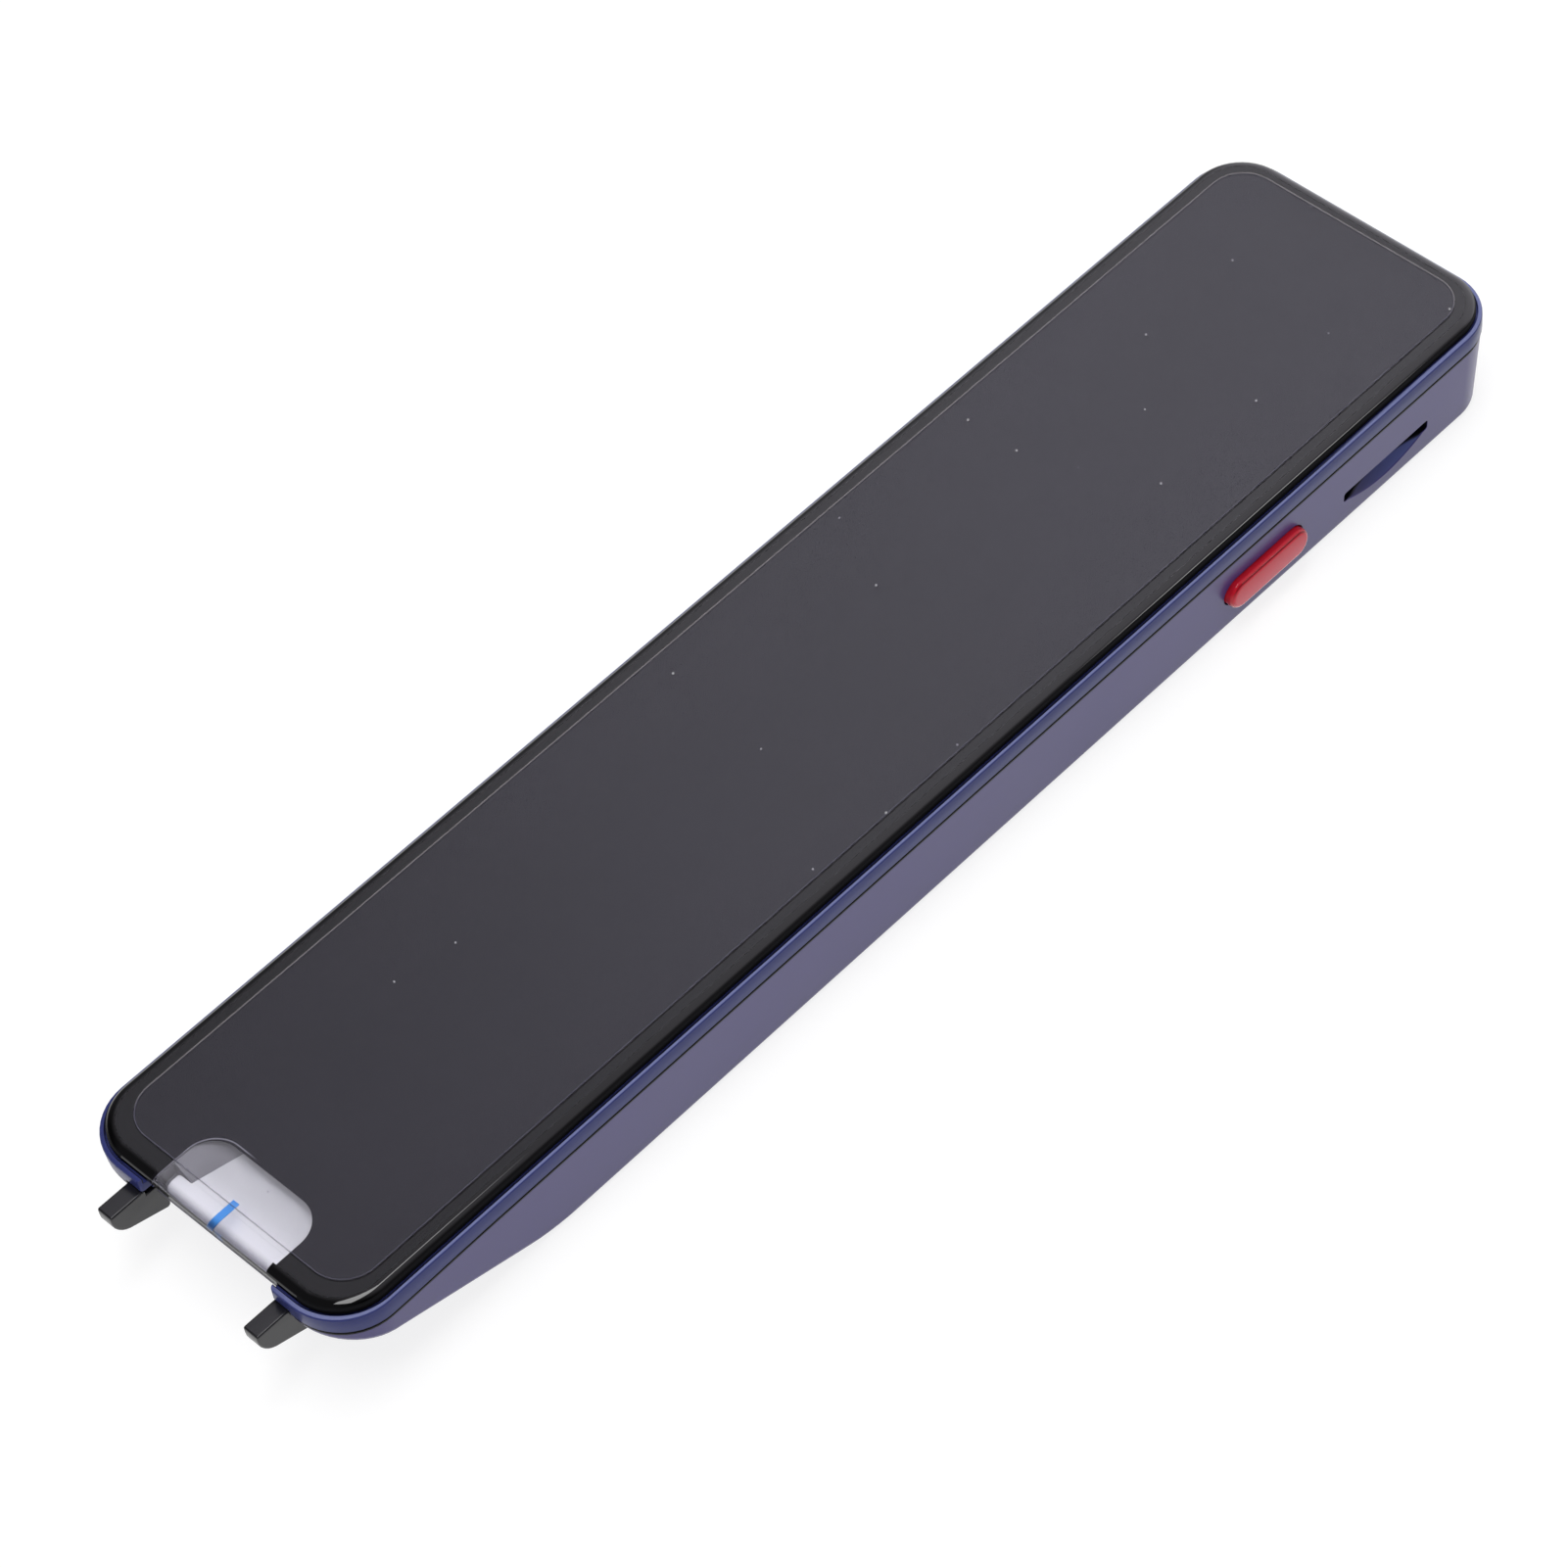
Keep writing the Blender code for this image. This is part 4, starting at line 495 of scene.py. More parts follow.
def metal_material(name, base, roughness, line_axis=0, stretch=40.0):
    """A rolled or drawn metal with fine lines along one axis."""
    metal = Finish(name)
    scale = [METAL_LINES, METAL_LINES, METAL_LINES]
    scale[line_axis] /= stretch
    lined = metal.add("ShaderNodeMapping", Vector=metal.place, Scale=scale)
    lines = metal.skin(grain=1.0, wave=0.02, vector=lined.outputs["Vector"])["Grain"]
    metal.set(Base_Color=metal.mix(lines, rgba(base, 0.85), rgba(base, 1.1)),
              Roughness=metal.rough(lines, roughness - 0.05, roughness + 0.08),
              Metallic=1.0)
    metal.bump(lines, strength=0.15, depth=0.003 * MM)
    return metal.material


def board_material(name, mask=(0.005, 0.055, 0.022), track=(0.030, 0.170, 0.050)):
    """Green solder mask, paler over the copper tracks."""
    board = Finish(name)
    pads = board.add("ShaderNodeTexBrick", {"offset": 0.5, "squash": 1.0},
                     Vector=board.place, Scale=420.0, Mortar_Size=0.12, Mortar_Smooth=0.1)
    tracks = board.add("ShaderNodeTexVoronoi",
                       {"distance": "CHEBYCHEV", "feature": "DISTANCE_TO_EDGE"},
                       Vector=board.place, Scale=700.0)
    wire = board.math("LESS_THAN", tracks.outputs["Distance"], TRACK_HALF)
    copper = board.most(wire, board.times(pads.outputs["Fac"], PAD_SHARE))
    board.set(Base_Color=board.mix(copper, rgba(mask), rgba(track)),
              Roughness=board.ramp(copper, 0.0, 1.0, 0.30, 0.42))
    board.bump(copper, strength=0.4, depth=0.02 * MM)
    return board.material


# The housing's bands go in from its wall, down from the slot's straight edge and down from
# the seam's gap
WALL_DRAFT = 0.081
SCOOP_BAND = (0.02 * MM, 0.14 * MM)
POCKET_BAND = (0.30 * MM, 0.05 * MM)
SEAM_GAP = 0.30 * MM
SEAM_SHADE_BAND = (0.24 * MM, 0.18 * MM)
SHINE_SHARE = 0.5


def housing_material(sizes, colours):
    """Satin lilac-blue paint with painted shade: deeper in the scooped slot, painted highlight
    brightening it to the slot's tail end, near black in pocket and seam.
    """
    paint = Finish("housing_paint")
    texture = paint.skin(PAINT_GRAIN, PAINT_WAVE)
    painted = paint.vary(paint.tone(texture, grain_share=0.5), colours.paint, PAINT_SPREAD)
    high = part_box("lower_housing")[1]
    wall = paint.times(paint.less(high.z, paint.z), WALL_DRAFT)
    behind = paint.less(wall_depth(paint), wall)
    along = paint.math("ABSOLUTE", paint.less(paint.y, sizes.slot_along))
    at_slot = paint.math("LESS_THAN", along, sizes.slot_half)
    on_side = paint.math("GREATER_THAN", paint.x, high.x / 2)
    scoop = paint.times(at_slot, on_side, paint.ramp(behind, *SCOOP_BAND))
    below_edge = paint.less(sizes.slot_floor, paint.z)
    # Painted shade: the slot's pocket goes near black below its straight edge
    pocket = paint.times(scoop, paint.ramp(below_edge, *POCKET_BAND))
    # Painted shade: the housing's top rim just under the seam goes near black
    below_seam = paint.less(paint.less(seam_level(paint), paint.z), SEAM_GAP)
    seam_shade = paint.ramp(below_seam, *SEAM_SHADE_BAND)
    # Painted highlight: the scoop goes from navy to a brighter blue towards its tail end
    shine = paint.ramp(paint.y, sizes.slot_along - sizes.slot_half,
                       sizes.slot_along + sizes.slot_half * SHINE_SHARE)
    painted_slot_shading = paint.mix(shine, rgba(colours.slot), rgba(colours.painted_slot_highlight))
    scooped = paint.mix(scoop, painted, painted_slot_shading)
    uncoated = paint.most(scoop, seam_shade)
    paint.set(Base_Color=paint.mix(paint.most(pocket, seam_shade), scooped, rgba(colours.gap)),
              Roughness=paint.rough(texture["Wave"], 0.30, 0.36),
              Coat_Weight=paint.times(paint.less(1.0, uncoated), 0.50),
              Specular_IOR_Level=0.10, Coat_Roughness=0.26, Coat_IOR=COAT_IOR)
    paint.bump(texture["Grain"], strength=0.15, depth=0.002 * MM)
    return paint.material


# The frame's bands go down from its top, in from the wall, back from the nose and up from
# the seam
# Where the painted lip highlight lies: its depth below the top, and its reach across the +X
# half
LIP_HIGHLIGHT_BAND = (0.12 * MM, 0.06 * MM)
COAT_BAND = (1.70 * MM, 0.40 * MM)
LIP_BAND = (0.12 * MM, 0.17 * MM)
GROOVE_DEPTH = 0.60 * MM
NOSE_BAND = (14.0 * MM, 6.0 * MM)
UNDER_BAND = (0.13 * MM, 0.07 * MM)
HIGHLIGHT_START_SHARE = 0.2
HIGHLIGHT_FULL_SHARE = 0.8
SHADED_LEAN_BAND = (0.10, 0.40)
NOSE_VALUES = (0.0, 0.7)
COAT_DEPTH_VALUES = (0.55, 0.08)
COAT_NOSE_SHARE = 0.8
COAT_TAIL_SHARE = 0.6
COAT_LENGTH_VALUES = (0.55, 1.0)
GAP_SHADE = 0.06


def frame_material(colours):
    """Deep glossy blue with a painted highlight on the lip's +X side, and painted shade in its
    groove and at the seam.
    """
    paint = Finish("frame_paint")
    texture = paint.skin(PAINT_GRAIN, PAINT_WAVE)
    painted = paint.vary(texture["Wave"], colours.frame, PAINT_SPREAD)
    low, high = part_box("trim_frame")
    below_top = paint.less(high.z, paint.z)
    # Painted highlight: the lip's top edge is paler towards the +X side
    lip_highlight = paint.times(paint.ramp(below_top, *LIP_HIGHLIGHT_BAND),
                       paint.ramp(paint.x, high.x * HIGHLIGHT_START_SHARE,
                                  high.x * HIGHLIGHT_FULL_SHARE))
    with_lip_highlight = paint.mix(lip_highlight, painted, rgba(colours.lip))
    lean = paint.less(paint.math("DIVIDE", paint.x, high.x),
                      paint.math("DIVIDE", paint.y, high.y))
    # Painted shade: the groove beside the glass goes dark on the +X side and towards the nose
    groove = paint.times(paint.ramp(wall_depth(paint), *LIP_BAND),
                         paint.math("GREATER_THAN", paint.z, high.z - GROOVE_DEPTH))
    from_nose = paint.less(paint.y, low.y)
    shaded = paint.most(paint.ramp(lean, *SHADED_LEAN_BAND),
                        paint.ramp(from_nose, *NOSE_BAND, *NOSE_VALUES))
    # Painted shade: the frame's lower edge goes dark at the seam
    under = paint.ramp(paint.less(paint.z, seam_level(paint)), *UNDER_BAND)
    dark = paint.most(paint.times(groove, shaded), under)
    coated = paint.times(paint.ramp(below_top, *COAT_BAND, *COAT_DEPTH_VALUES),
                         paint.ramp(paint.y, low.y * COAT_NOSE_SHARE,
                                    high.y * COAT_TAIL_SHARE, *COAT_LENGTH_VALUES))
    paint.set(Base_Color=paint.mix(dark, with_lip_highlight, rgba(colours.frame, GAP_SHADE)),
              Roughness=paint.rough(texture["Grain"], 0.28, 0.34),
              Coat_Weight=paint.times(coated, paint.less(1.0, dark)),
              Specular_IOR_Level=0.10, Coat_Roughness=0.14, Coat_IOR=COAT_IOR)
    paint.bump(texture["Grain"], strength=0.12, depth=0.002 * MM)
    return paint.material


# The button's bands go in from its face, and its insets from its top and its foot
FACE_BAND = (0.20 * MM, 0.01 * MM)
LINE_OUTER_BAND = (0.03 * MM, 0.09 * MM)
LINE_INNER_BAND = (0.22 * MM, 0.14 * MM)
TOP_INSET = 0.35 * MM
FOOT_INSET = 0.40 * MM
LINE_INSET = 0.60 * MM
FACE_VALUES = (0.25, 1.30)
LINE_VALUES = (0.0, 0.75)
SHEEN_NOISE_BAND = (0.25, 0.75)
SHEEN_NOISE_VALUES = (0.80, 1.0)


def button_material(colours):
    """Glossy red moulding whose face is paled by painted reflection, with a painted shade line
    above it.
    """
    gloss = Finish("button_gloss")
    texture = gloss.skin(grain=11000.0, wave=120.0)
    low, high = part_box("button_cap")
    sunk = gloss.less(high.x, gloss.x)
    on_face = gloss.ramp(sunk, *FACE_BAND)
    # Painted reflection: the face pales from its top towards its foot, by a noisy share
    lowered = gloss.ramp(gloss.z, high.z - TOP_INSET, low.z + FOOT_INSET, *FACE_VALUES)
    face_sheen = gloss.times(on_face, lowered,
                         gloss.ramp(texture["Wave"], *SHEEN_NOISE_BAND, *SHEEN_NOISE_VALUES))
    # Painted shade: a dark line just inside the face's upper edge
    upper = gloss.ramp(gloss.z, (low.z + high.z) / 2, high.z - LINE_INSET, *LINE_VALUES)
    line = gloss.times(gloss.ramp(sunk, *LINE_INNER_BAND),
                       gloss.ramp(sunk, *LINE_OUTER_BAND), upper)
    red = gloss.mix(face_sheen, rgba(colours.button), rgba(colours.painted_face_sheen))
    lined = gloss.mix(line, red, rgba(colours.painted_line_shade))
    grained = gloss.add("ShaderNodeVectorMath", {"operation": "SCALE"}, Vector=lined,
                        Scale=gloss.ramp(texture["Grain"], *NOISE_BAND, 0.95, 1.05))
    gloss.set(Base_Color=grained.outputs["Vector"],
              Roughness=gloss.math("MULTIPLY_ADD", on_face, 0.06, 0.12),
              Coat_Weight=gloss.times(lowered, 0.70),
              Specular_IOR_Level=0.15, Coat_Roughness=0.12, Coat_IOR=COAT_IOR)
    gloss.bump(gloss.times(texture["Grain"], on_face), strength=0.10, depth=0.003 * MM)
    return gloss.material


PRINT_FADE = 0.04 * MM
WINDOW_EDGE_SHADE_BAND = (0.10 * MM, 1.10 * MM)
SMEAR_BAND = (0.45, 0.75)
SMEAR_VALUES = (0.012, 0.042)
LAMPLIGHT_TINT = (0.96, 0.96, 0.97, 1.0)


def glass_material(sizes, colours):
    """Clear cover glass with a black rim, open at the scanning window's front, where painted
    shade darkens its rounded edge.
    """
    glass = Finish("clear_glass")
    smear = glass.skin(grain=500.0, wave=18.0)["Wave"]
    rim = glass.inside(*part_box("cover_glass"), sizes.glass_corner)
    at_window = glass.ramp(window_depth(glass, sizes), -PRINT_FADE, PRINT_FADE)
    clear = glass.ramp(rim, sizes.glass_rim - PRINT_FADE, sizes.glass_rim + PRINT_FADE)
    # Painted shade: the glass darkens towards its rounded edge at the window
    shown = glass.mix(glass.ramp(rim, *WINDOW_EDGE_SHADE_BAND), rgba(colours.painted_window_edge_shade),
                      rgba(colours.glass))
    rimmed = glass.mix(clear, BLACK, rgba(colours.glass))
    glass.set(Base_Color=glass.mix(at_window, rimmed, shown),
              Roughness=glass.ramp(smear, *SMEAR_BAND, *SMEAR_VALUES),
              Transmission_Weight=1.0, IOR=1.5)
    glass.let_lamplight_by(LAMPLIGHT_TINT)
    return glass.material


SCRATCH_TURN = radians(35)
SCRATCH_STRETCH = 0.22
LIT_LEAN_BAND = (-0.05, 0.10)
HAZE_AND_REFLECTION_VALUES = (0.013, 0.018)
CLOUD_VALUES = (0.88, 1.12)
MARKS_SHARE = 0.40
EDGE_LINE_VALUES = (0.45, 0.25)


def film_material(sizes, colours):
    """Thin protective film: nearly clear, with specks and scratches; its haze is partly real
    and partly painted reflection that rises to the tail, and its edge line is painted light at
    its left and tail and painted shade at its right and nose.
    """
    film = Finish("protective_film")
    texture = film.skin(grain=4000.0, wave=25.0)
    low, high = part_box("protective_film")
    # Partly painted reflection: the haze rises from nose to tail
    haze = film.slope(film.y, low.y, high.y, *HAZE_AND_REFLECTION_VALUES)
    cloud = film.ramp(texture["Wave"], *NOISE_BAND, *CLOUD_VALUES)
    dust = film.specks(film.place, cells=150.0, size=0.016, cover=0.30)
    drawn = film.add("ShaderNodeMapping", Vector=film.place,
                     Rotation=(0.0, 0.0, SCRATCH_TURN), Scale=(1.0, SCRATCH_STRETCH, 1.0))
    scratches = film.specks(drawn.outputs["Vector"], cells=110.0, size=0.014, cover=0.06)
    marks = film.most(dust, scratches)
    line = film.ramp(film.inside(low, high, sizes.film_corner), 0.0, sizes.film_line, 1.0, 0.0)
    lean = film.less(film.math("DIVIDE", film.y, high.y),
                     film.math("DIVIDE", film.x, high.x))
    # Painted highlight and shade: the edge line is lit on one side and shaded on the other
    lit = film.ramp(lean, *LIT_LEAN_BAND)
    veil = film.math("ADD", film.times(haze, cloud), film.times(marks, MARKS_SHARE))
    drawn_line = film.times(line, film.ramp(lit, 0.0, 1.0, *EDGE_LINE_VALUES))
    cast = film.mix(marks, rgba(colours.haze), rgba(colours.film_speck))
    edge = film.mix(lit, rgba(colours.film_line_shaded), rgba(colours.film_line_lit))
    film.set(Base_Color=film.mix(line, cast, edge), Alpha=film.most(veil, drawn_line),
             Roughness=film.rough(texture["Grain"], 0.22, 0.34), Specular_IOR_Level=0.1)
    return film.material


PRINT_BLACK = 0.0022
SCREEN_BLACK = 0.0030
PRINT_CLOUD = 0.0012
PRINT_TINT_SHARES = {"Red": 1.0, "Green": 0.96, "Blue": 1.35}
SCREEN_FADE = 0.10 * MM
CUT_BAND = (0.03 * MM, 0.10 * MM)
CUT_END_BAND = (-3.5 * MM, -1.5 * MM)


def print_material(sizes, colours):
    """Black print with a pale cut edge; the screen inside it reads a hair lighter."""
    ink = Finish("black_print")
    texture = ink.skin(grain=3000.0, wave=35.0)
    screen = ink.ramp(ink.inside(*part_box("display_panel"), sizes.screen_corner),
                      -SCREEN_FADE, SCREEN_FADE)
    clouded = ink.math("MULTIPLY_ADD", texture["Wave"], PRINT_CLOUD, PRINT_BLACK)
    tone = ink.math("MULTIPLY_ADD", screen, SCREEN_BLACK - PRINT_BLACK, clouded)
    black = ink.add("ShaderNodeCombineColor")
    for channel, share in PRINT_TINT_SHARES.items():
        ink.feed(black, channel, ink.times(tone, share))
    near = ink.math("ABSOLUTE", window_depth(ink, sizes))
    cut = ink.times(ink.ramp(near, *CUT_BAND, 1.0, 0.0),
                    ink.ramp(ink.x, *CUT_END_BAND, 1.0, 0.0))
    ink.set(Base_Color=ink.mix(cut, black.outputs["Color"], rgba(colours.print_cut)),
            Roughness=ink.rough(texture["Grain"], 0.50, 0.60), Specular_IOR_Level=0.0)
    return ink.material


REFLECTOR_SHADE_BAND = (0.6 * MM, 5.0 * MM)
REFLECTOR_SHADE = 0.60
SPECKLE_SHARE = 0.25


def reflector_material(base):
    """Satin silver plate, darkened away from the nose by painted shade."""
    silver = Finish("reflector_silver")
    texture = silver.skin(grain=9000.0, wave=260.0)
    from_nose = silver.less(silver.y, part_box("scan_reflector")[0].y)
    # Painted shade: the plate darkens away from the nose
    tone = silver.mix(silver.ramp(from_nose, *REFLECTOR_SHADE_BAND), rgba(base),
                      rgba(base, REFLECTOR_SHADE))
    speckle = silver.times(texture["Grain"], SPECKLE_SHARE)
    silver.set(Base_Color=silver.mix(speckle, tone, rgba(base, 1.08)),
               Roughness=silver.rough(texture["Wave"], 0.34, 0.42), Metallic=0.10)
    silver.bump(texture["Grain"], strength=0.12, depth=0.002 * MM)
    return silver.material


CORNER_WIDTH_BAND = (1.4 * MM, 2.2 * MM)
CORNER_DEPTH_BAND = (3.4 * MM, 4.4 * MM)
CHAMBER_CLOUD_SHARE = 0.4


def chamber_material(base):
    """Lilac-grey moulding, paler in its near left corner."""
    grey = Finish("chamber_grey")
    texture = grey.skin(grain=9000.0, wave=200.0)
    low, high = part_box("light_chamber")
    corner = grey.times(grey.ramp(grey.less(grey.x, low.x), *CORNER_WIDTH_BAND, 1.0, 0.0),
                        grey.ramp(grey.less(high.y, grey.y), *CORNER_DEPTH_BAND))
    pale = grey.mix(corner, rgba(base), rgba(base, 1.08))
    cloud = grey.times(texture["Wave"], CHAMBER_CLOUD_SHARE)
    grey.set(Base_Color=grey.mix(cloud, pale, rgba(base, 0.80)),
             Roughness=grey.rough(texture["Grain"], 0.38, 0.46))
    grey.bump(texture["Grain"], strength=0.20, depth=0.004 * MM)
    return grey.material


MARK_SHADE_BAND = (0.0, 0.9 * MM)
MARK_SHADE_VALUES = (0.55, 0.0)


def mark_material(base):
    """Blue ink that lets lamplight by, with painted shade deepening it at its nose end."""
    ink = Finish("mark_ink")
    texture = ink.skin(grain=6000.0, wave=600.0)
    from_nose = ink.less(ink.y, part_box("guide_mark")[0].y)
    # Painted shade: the ink deepens towards its nose end
    deep = ink.ramp(from_nose, *MARK_SHADE_BAND, *MARK_SHADE_VALUES)
    inked = ink.vary(texture["Wave"], base, spread=0.08)
    ink.set(Base_Color=ink.mix(deep, inked, rgba(base, 0.30)),
            Roughness=ink.rough(texture["Grain"], 0.40, 0.50))
    ink.let_lamplight_by()
    return ink.material


# Operators, one for each piece or group of like pieces

class PEN_OT_housing(bpy.types.Operator):
    """Make the painted lower housing with softened edges"""
    bl_idname = "pen.housing"
    bl_label = "Lower housing"

    def execute(self, context):
        sizes, colours = context.scene.pen_sizes, context.scene.pen_colours
        piece = finish_piece("housing", node_shape("lower_housing"), "pen",
                             "lower_housing")
        round_edges(piece, sizes.moulding_edge)
        dress(piece, housing_material(sizes, colours))
        return {"FINISHED"}


class PEN_OT_trim_frame(bpy.types.Operator):
    """Make the painted frame round the glass with softened edges"""
    bl_idname = "pen.trim_frame"
    bl_label = "Trim frame"

    def execute(self, context):
        sizes, colours = context.scene.pen_sizes, context.scene.pen_colours
        piece = finish_piece("frame", node_shape("trim_frame"), "pen",
                             "trim_frame")
        round_edges(piece, sizes.frame_edge)
        dress(piece, frame_material(colours))
        return {"FINISHED"}


class PEN_OT_glass(bpy.types.Operator):
    """Make the cover glass, the print and guide mark under it and the film over it"""
    bl_idname = "pen.glass"
    bl_label = "Glass, print and film"

    def execute(self, context):
        sizes, colours = context.scene.pen_sizes, context.scene.pen_colours
        glass = finish_piece("glass", self.rimmed_glass(), "pen", "cover_glass")
        keep_flat(glass)
        dress(glass, glass_material(sizes, colours))
        glass.data.materials.append(satin_material("blacked_edge", (0.006, 0.006, 0.007), 0.45,
                                                   specular=0.05))
        self.black_the_edge(glass, sizes)
        printed = finish_piece("print", self.bonded_shape("glass_print", sizes), "pen",
                               "glass_print")
        dress(printed, print_material(sizes, colours))
        mark = finish_piece("mark", self.bonded_shape("guide_mark", sizes), "pen",
                            "guide_mark")
        dress(mark, mark_material(colours.mark))
        film = finish_piece("film", self.lifted_film(), "pen", "protective_film")
        dress(film, film_material(sizes, colours))
        return {"FINISHED"}

    def rimmed_glass(self):
        """The glass with its rounding drawn up, so that its edge stands upright below."""
        shape = node_shape("cover_glass")
        low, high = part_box("cover_glass")
        rounding = [vert for vert in shape.verts if vert.co.z > low.z + GLASS_FOOT]
        bmesh.ops.scale(shape, verts=rounding, vec=(1.0, 1.0, ROUNDING_SHARE),
                        space=Matrix.Translation((0.0, 0.0, -high.z)))
        return shape

    def black_the_edge(self, glass, sizes):
        """Give the glass's upright faces, but not the window's, their second material."""
        for face in glass.data.polygons:
            at_window = face.center.y < 0.0 and abs(face.center.x) < sizes.window_half
            upright = abs(face.normal.z) < STEEP
            face.material_index = int(upright and not at_window)

    def bonded_shape(self, node, sizes):
        """A printed node sunk into the glass above it."""
        shape = node_shape(node)
        bmesh.ops.translate(shape, verts=shape.verts, vec=(0.0, 0.0, sizes.print_bond))
        return shape

    def lifted_film(self):
        """The film with a hair of air between it and the glass."""
        shape = node_shape("protective_film")
        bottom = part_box("protective_film")[0].z
        lowest = [vert for vert in shape.verts if vert.co.z < bottom + MERGE_DISTANCE]
        bmesh.ops.translate(shape, verts=lowest, vec=(0.0, 0.0, FILM_AIR))
        return shape


class PEN_OT_scanner(bpy.types.Operator):
    """Make the light chamber and its reflector"""
    bl_idname = "pen.scanner"
    bl_label = "Light chamber"

    def execute(self, context):
        sizes, colours = context.scene.pen_sizes, context.scene.pen_colours
        chamber = finish_piece("chamber", node_shape("light_chamber"), "pen",
                               "light_chamber")
        round_edges(chamber, sizes.plate_edge)
        dress(chamber, chamber_material(colours.chamber))
        reflector = finish_piece("reflector", node_shape("scan_reflector"), "pen",
                                 "scan_reflector")
        round_edges(reflector, sizes.plate_edge)
        dress(reflector, reflector_material(colours.reflector))
        return {"FINISHED"}


class PEN_OT_feet(bpy.types.Operator):
    """Make the charcoal scanning feet"""
    bl_idname = "pen.feet"
    bl_label = "Scanning feet"

    def execute(self, context):
        colours = context.scene.pen_colours
        feet = finish_piece("feet", node_shape("scan_feet"), "scan_head",
                            "scan_feet", FOOT_SHARP_ANGLE)
        keep_flat(feet)
        dress(feet, satin_material("foot_black", colours.feet, 0.22, grain=7000.0,
                                   depth=0.003 * MM, spread=0.15, specular=0.55))
        return {"FINISHED"}


class PEN_OT_button(bpy.types.Operator):
    """Make the red side button"""
    bl_idname = "pen.button"
    bl_label = "Side button"

    def execute(self, context):
        cap = finish_piece("button", node_shape("button_cap"), "side_button",
                           "button_cap")
        keep_flat(cap)
        dress(cap, button_material(context.scene.pen_colours))
        return {"FINISHED"}


class PEN_OT_inside(bpy.types.Operator):
    """Give the parts inside the pen their finishes"""
    bl_idname = "pen.inside"
    bl_label = "Inner parts"

    def execute(self, context):
        finishes = {
            metal_material("plated_steel", (0.56, 0.56, 0.57), 0.28):
                ("scan_plunger", "processor_shield", "port_shell", "side_switch"),
            metal_material("pressed_tray", (0.42, 0.42, 0.42), 0.38, 1): ("display_tray",),
            metal_material("stamped_chassis", (0.42, 0.425, 0.43), 0.42, 1):
                ("inner_chassis",),
            metal_material("zinc_screw", (0.30, 0.30, 0.31), 0.32, 2):
                ("chassis_screw_1", "chassis_screw_2", "chassis_screw_3", "chassis_screw_4"),
            metal_material("pouch_foil", (0.60, 0.61, 0.63), 0.34, 0, 8.0): ("battery",),
            metal_material("gold_can", (0.60, 0.44, 0.18), 0.30, 0, 8.0):
                ("tail_microphone",),
            board_material("solder_mask"):
                ("camera_board", "main_board", "side_switch_board", "tail_board"),
            satin_material("black_moulding", (0.018, 0.018, 0.020), 0.40):
                ("scan_switch", "camera_bracket", "port_tongue", "side_plunger", "speaker"),
            satin_material("chip_package", (0.014, 0.014, 0.015), 0.50, depth=0.010 * MM):
                ("camera_lens", "camera_module", "memory_chip"),
            satin_material("lamp_package", (0.80, 0.77, 0.58), 0.30):
                ("scan_led_left", "scan_led_right"),
            satin_material("black_foam", (0.018, 0.018, 0.018), 0.85, grain=3500.0,
                           depth=0.050 * MM): ("battery_pad", "speaker_seal"),
            satin_material("adhesive_ring", (0.012, 0.012, 0.012), 0.80): ("glass_gasket",),
            satin_material("display_glass", (0.010, 0.010, 0.014), 0.14): ("display_panel",),
            satin_material("amber_ribbon", (0.42, 0.17, 0.03), 0.34): ("display_flex",),
        }
        for material, nodes in finishes.items():
            for node in nodes:
                dress(frame["nodes"][node], material)
        return {"FINISHED"}


# The studio. The world's lights, which only glossy surfaces see, give two shares of a
# direction and then the light's strength at each.

TABLE_HALF = 3.0
LIT_TABLE_SHARE = 0.27
SENSOR_WIDTH = 36.0
CLIP_START = 10.0 * MM
AIM_ALONG = 0.5 * MM
LEFT_LIGHT = (-0.80, -0.58, 0.30, 0.90)
RIGHT_LIGHT = (0.30, 0.85, 1.00, 0.20)
FAR_LIGHT = (-0.17, 0.65, 0.17, 1.42)
FAR_LIFT = (0.29, 0.44, 0.92, 1.30)
HORIZON_LIGHT = (0.00, 0.30, 0.35, 0.00)
LIGHT_CAST = (1.000, 0.975, 1.070, 1.0)


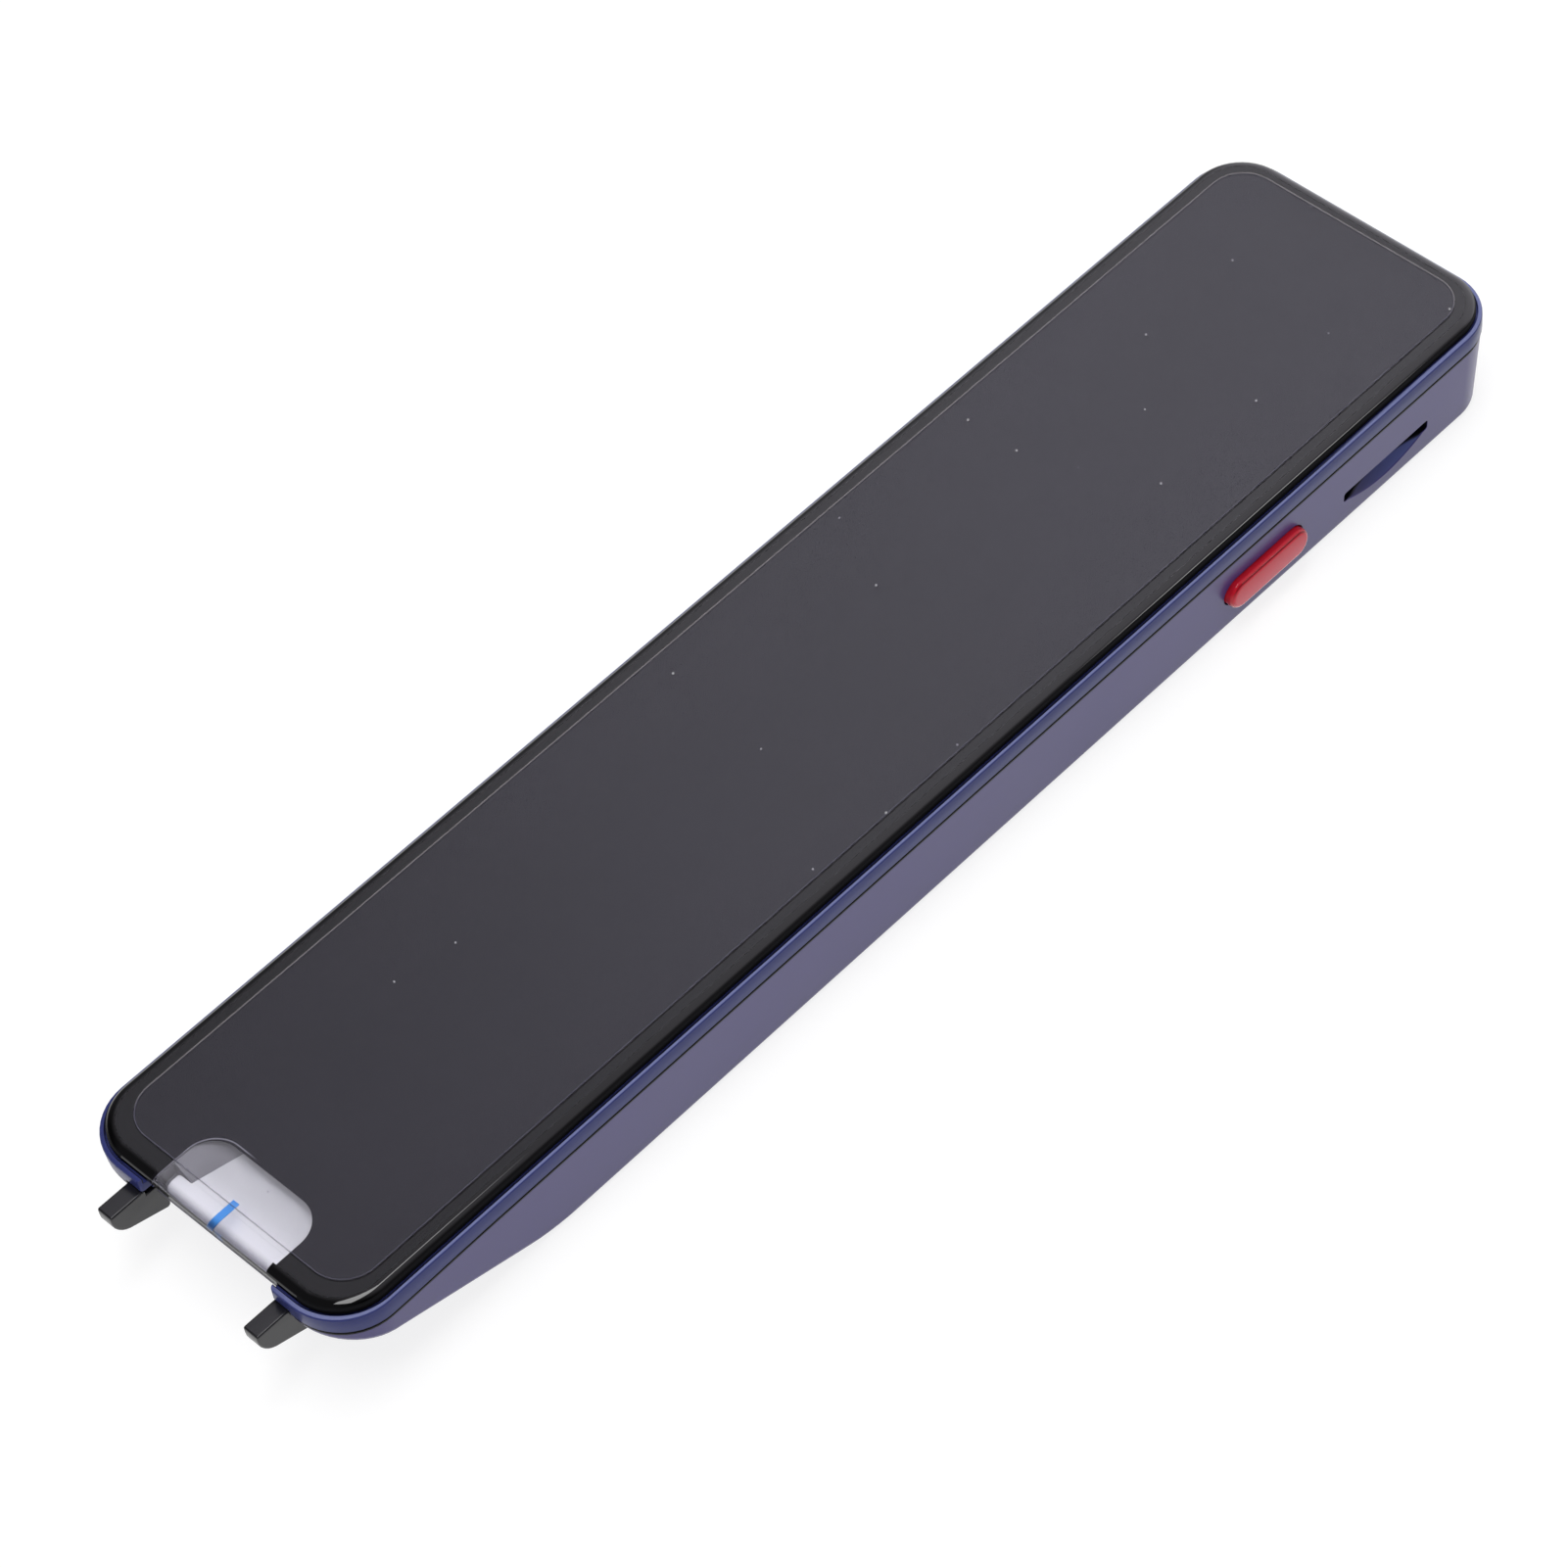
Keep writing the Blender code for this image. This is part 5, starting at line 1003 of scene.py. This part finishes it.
class PEN_OT_stage(bpy.types.Operator):
    """Set the white table, the lamps, the world and the camera"""
    bl_idname = "pen.stage"
    bl_label = "Studio"

    def execute(self, context):
        settings = context.scene.pen_studio
        context.scene.view_settings.view_transform = "Standard"
        self.lay_table(context.scene.pen_colours.floor, settings.table_glow)
        self.light_world(settings.ambient)
        self.place_camera(settings, Vector((0.0, AIM_ALONG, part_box("cover_glass")[1].z)))
        back = self.place_lamp("back_softbox", towards=(-0.486, 0.404, 0.775), distance=1.10,
                               size=(1.30, 1.10), radiance=0.40)
        back.visible_glossy = False
        self.place_lamp("top_softbox", towards=(0.05, -0.10, 0.99), distance=1.20,
                        size=(0.40, 0.92), radiance=6.5)
        self.place_lamp("side_softbox", towards=(0.728, 0.529, 0.512), distance=1.035,
                        size=(0.10, 0.11), radiance=8.0)
        return {"FINISHED"}

    def lay_table(self, base, glow):
        """A white table that shows its own soft shade to the camera."""
        shape = bmesh.new()
        bmesh.ops.create_grid(shape, x_segments=1, y_segments=1, size=TABLE_HALF)
        mesh = bpy.data.meshes.new("table")
        shape.to_mesh(mesh)
        shape.free()
        table = bpy.data.objects.new("table", mesh)
        bpy.context.scene.collection.objects.link(table)
        white = Finish("white_table")
        seen = white.seen_directly(white.add("ShaderNodeLightPath").outputs)
        white.set(Base_Color=white.mix(seen, rgba(base), rgba(base, LIT_TABLE_SHARE)),
                  Roughness=0.85, Specular_IOR_Level=0.1, Emission_Color=WHITE,
                  Emission_Strength=white.times(seen, glow))
        dress(table, white.material)

    def light_world(self, ambient):
        """White to the camera, and a plain fill; glossy things see it brighter far away."""
        world = bpy.data.worlds.new("studio")
        world.use_nodes = True
        graph = Graph(world.node_tree)
        fill = world.node_tree.nodes["Background"]
        graph.feed(fill, "Color", WHITE)
        graph.feed(fill, "Strength", ambient)
        towards = graph.axes(graph.add("ShaderNodeTexCoord").outputs["Generated"])
        sideways = graph.times(graph.ramp(towards["X"], *LEFT_LIGHT),
                               graph.ramp(towards["X"], *RIGHT_LIGHT))
        far = graph.times(graph.slope(towards["Y"], *FAR_LIGHT),
                          graph.ramp(towards["Y"], *FAR_LIFT))
        mirrored = graph.most(graph.times(sideways, far),
                              graph.ramp(towards["Z"], *HORIZON_LIGHT))
        rays = graph.add("ShaderNodeLightPath").outputs
        white = graph.most(rays["Is Camera Ray"], rays["Is Transmission Ray"])
        backdrop = graph.add("ShaderNodeBackground", Strength=graph.most(white, mirrored),
                             Color=graph.mix(white, LIGHT_CAST, WHITE))
        seen = graph.choose(graph.seen_directly(rays), fill.outputs["Background"],
                            backdrop.outputs["Background"])
        graph.feed(world.node_tree.nodes["World Output"], "Surface", seen)
        bpy.context.scene.world = world

    def place_camera(self, settings, target):
        """Stand the camera where the photograph was taken from."""
        turn, rise, roll = settings.azimuth, settings.elevation, settings.roll
        back = Vector((sin(turn) * cos(rise), -cos(turn) * cos(rise), sin(rise)))
        level = Vector((cos(turn), sin(turn), 0.0))
        upright = back.cross(level)
        right = level * cos(roll) + upright * sin(roll)
        up = upright * cos(roll) - level * sin(roll)
        place = (target - right * settings.offset_right - up * settings.offset_up
                 + back * settings.distance)
        camera = bpy.data.cameras.new("camera")
        camera.lens = settings.focal
        camera.sensor_width = SENSOR_WIDTH
        camera.clip_start = CLIP_START
        holder = bpy.data.objects.new("camera", camera)
        bpy.context.scene.collection.objects.link(holder)
        axes = Matrix((right, up, back)).transposed().to_4x4()
        holder.matrix_world = Matrix.Translation(place) @ axes
        bpy.context.scene.camera = holder

    def place_lamp(self, name, towards, distance, size, radiance):
        """A rectangular softbox that faces the pen, as bright as its radiance says."""
        lamp = bpy.data.lights.new(name, "AREA")
        lamp.shape = "RECTANGLE"
        lamp.size, lamp.size_y = size
        lamp.energy = radiance * pi * size[0] * size[1]
        holder = bpy.data.objects.new(name, lamp)
        bpy.context.scene.collection.objects.link(holder)
        direction = Vector(towards)
        holder.location = direction.normalized() * distance
        holder.rotation_euler = direction.to_track_quat("Z", "Y").to_euler()
        return holder


class PEN_PT_panel(bpy.types.Panel):
    """Lists the operators and what a user would change"""
    bl_idname = "PEN_PT_panel"
    bl_label = "Scanning pen"
    bl_space_type = "VIEW_3D"
    bl_region_type = "UI"
    bl_category = "Pen"

    def draw(self, context):
        for operator in OPERATORS:
            self.layout.operator(operator.bl_idname)
        for group in (context.scene.pen_sizes, context.scene.pen_colours,
                      context.scene.pen_studio):
            for name in group.__annotations__:
                self.layout.prop(group, name)


SETTINGS = (PenSizes, PenColours, StudioSettings)
OPERATORS = (PEN_OT_housing, PEN_OT_trim_frame, PEN_OT_glass, PEN_OT_scanner, PEN_OT_feet,
             PEN_OT_button, PEN_OT_inside, PEN_OT_stage)


def register():
    for made in (*SETTINGS, *OPERATORS, PEN_PT_panel):
        bpy.utils.register_class(made)
    bpy.types.Scene.pen_sizes = PointerProperty(type=PenSizes)
    bpy.types.Scene.pen_colours = PointerProperty(type=PenColours)
    bpy.types.Scene.pen_studio = PointerProperty(type=StudioSettings)


def unregister():
    del bpy.types.Scene.pen_studio
    del bpy.types.Scene.pen_colours
    del bpy.types.Scene.pen_sizes
    for made in reversed((*SETTINGS, *OPERATORS, PEN_PT_panel)):
        bpy.utils.unregister_class(made)


def main():
    register()
    bpy.ops.pen.housing()
    bpy.ops.pen.trim_frame()
    bpy.ops.pen.glass()
    bpy.ops.pen.scanner()
    bpy.ops.pen.feet()
    bpy.ops.pen.button()
    bpy.ops.pen.inside()
    bpy.ops.pen.stage()


if __name__ == "__main__":
    main()
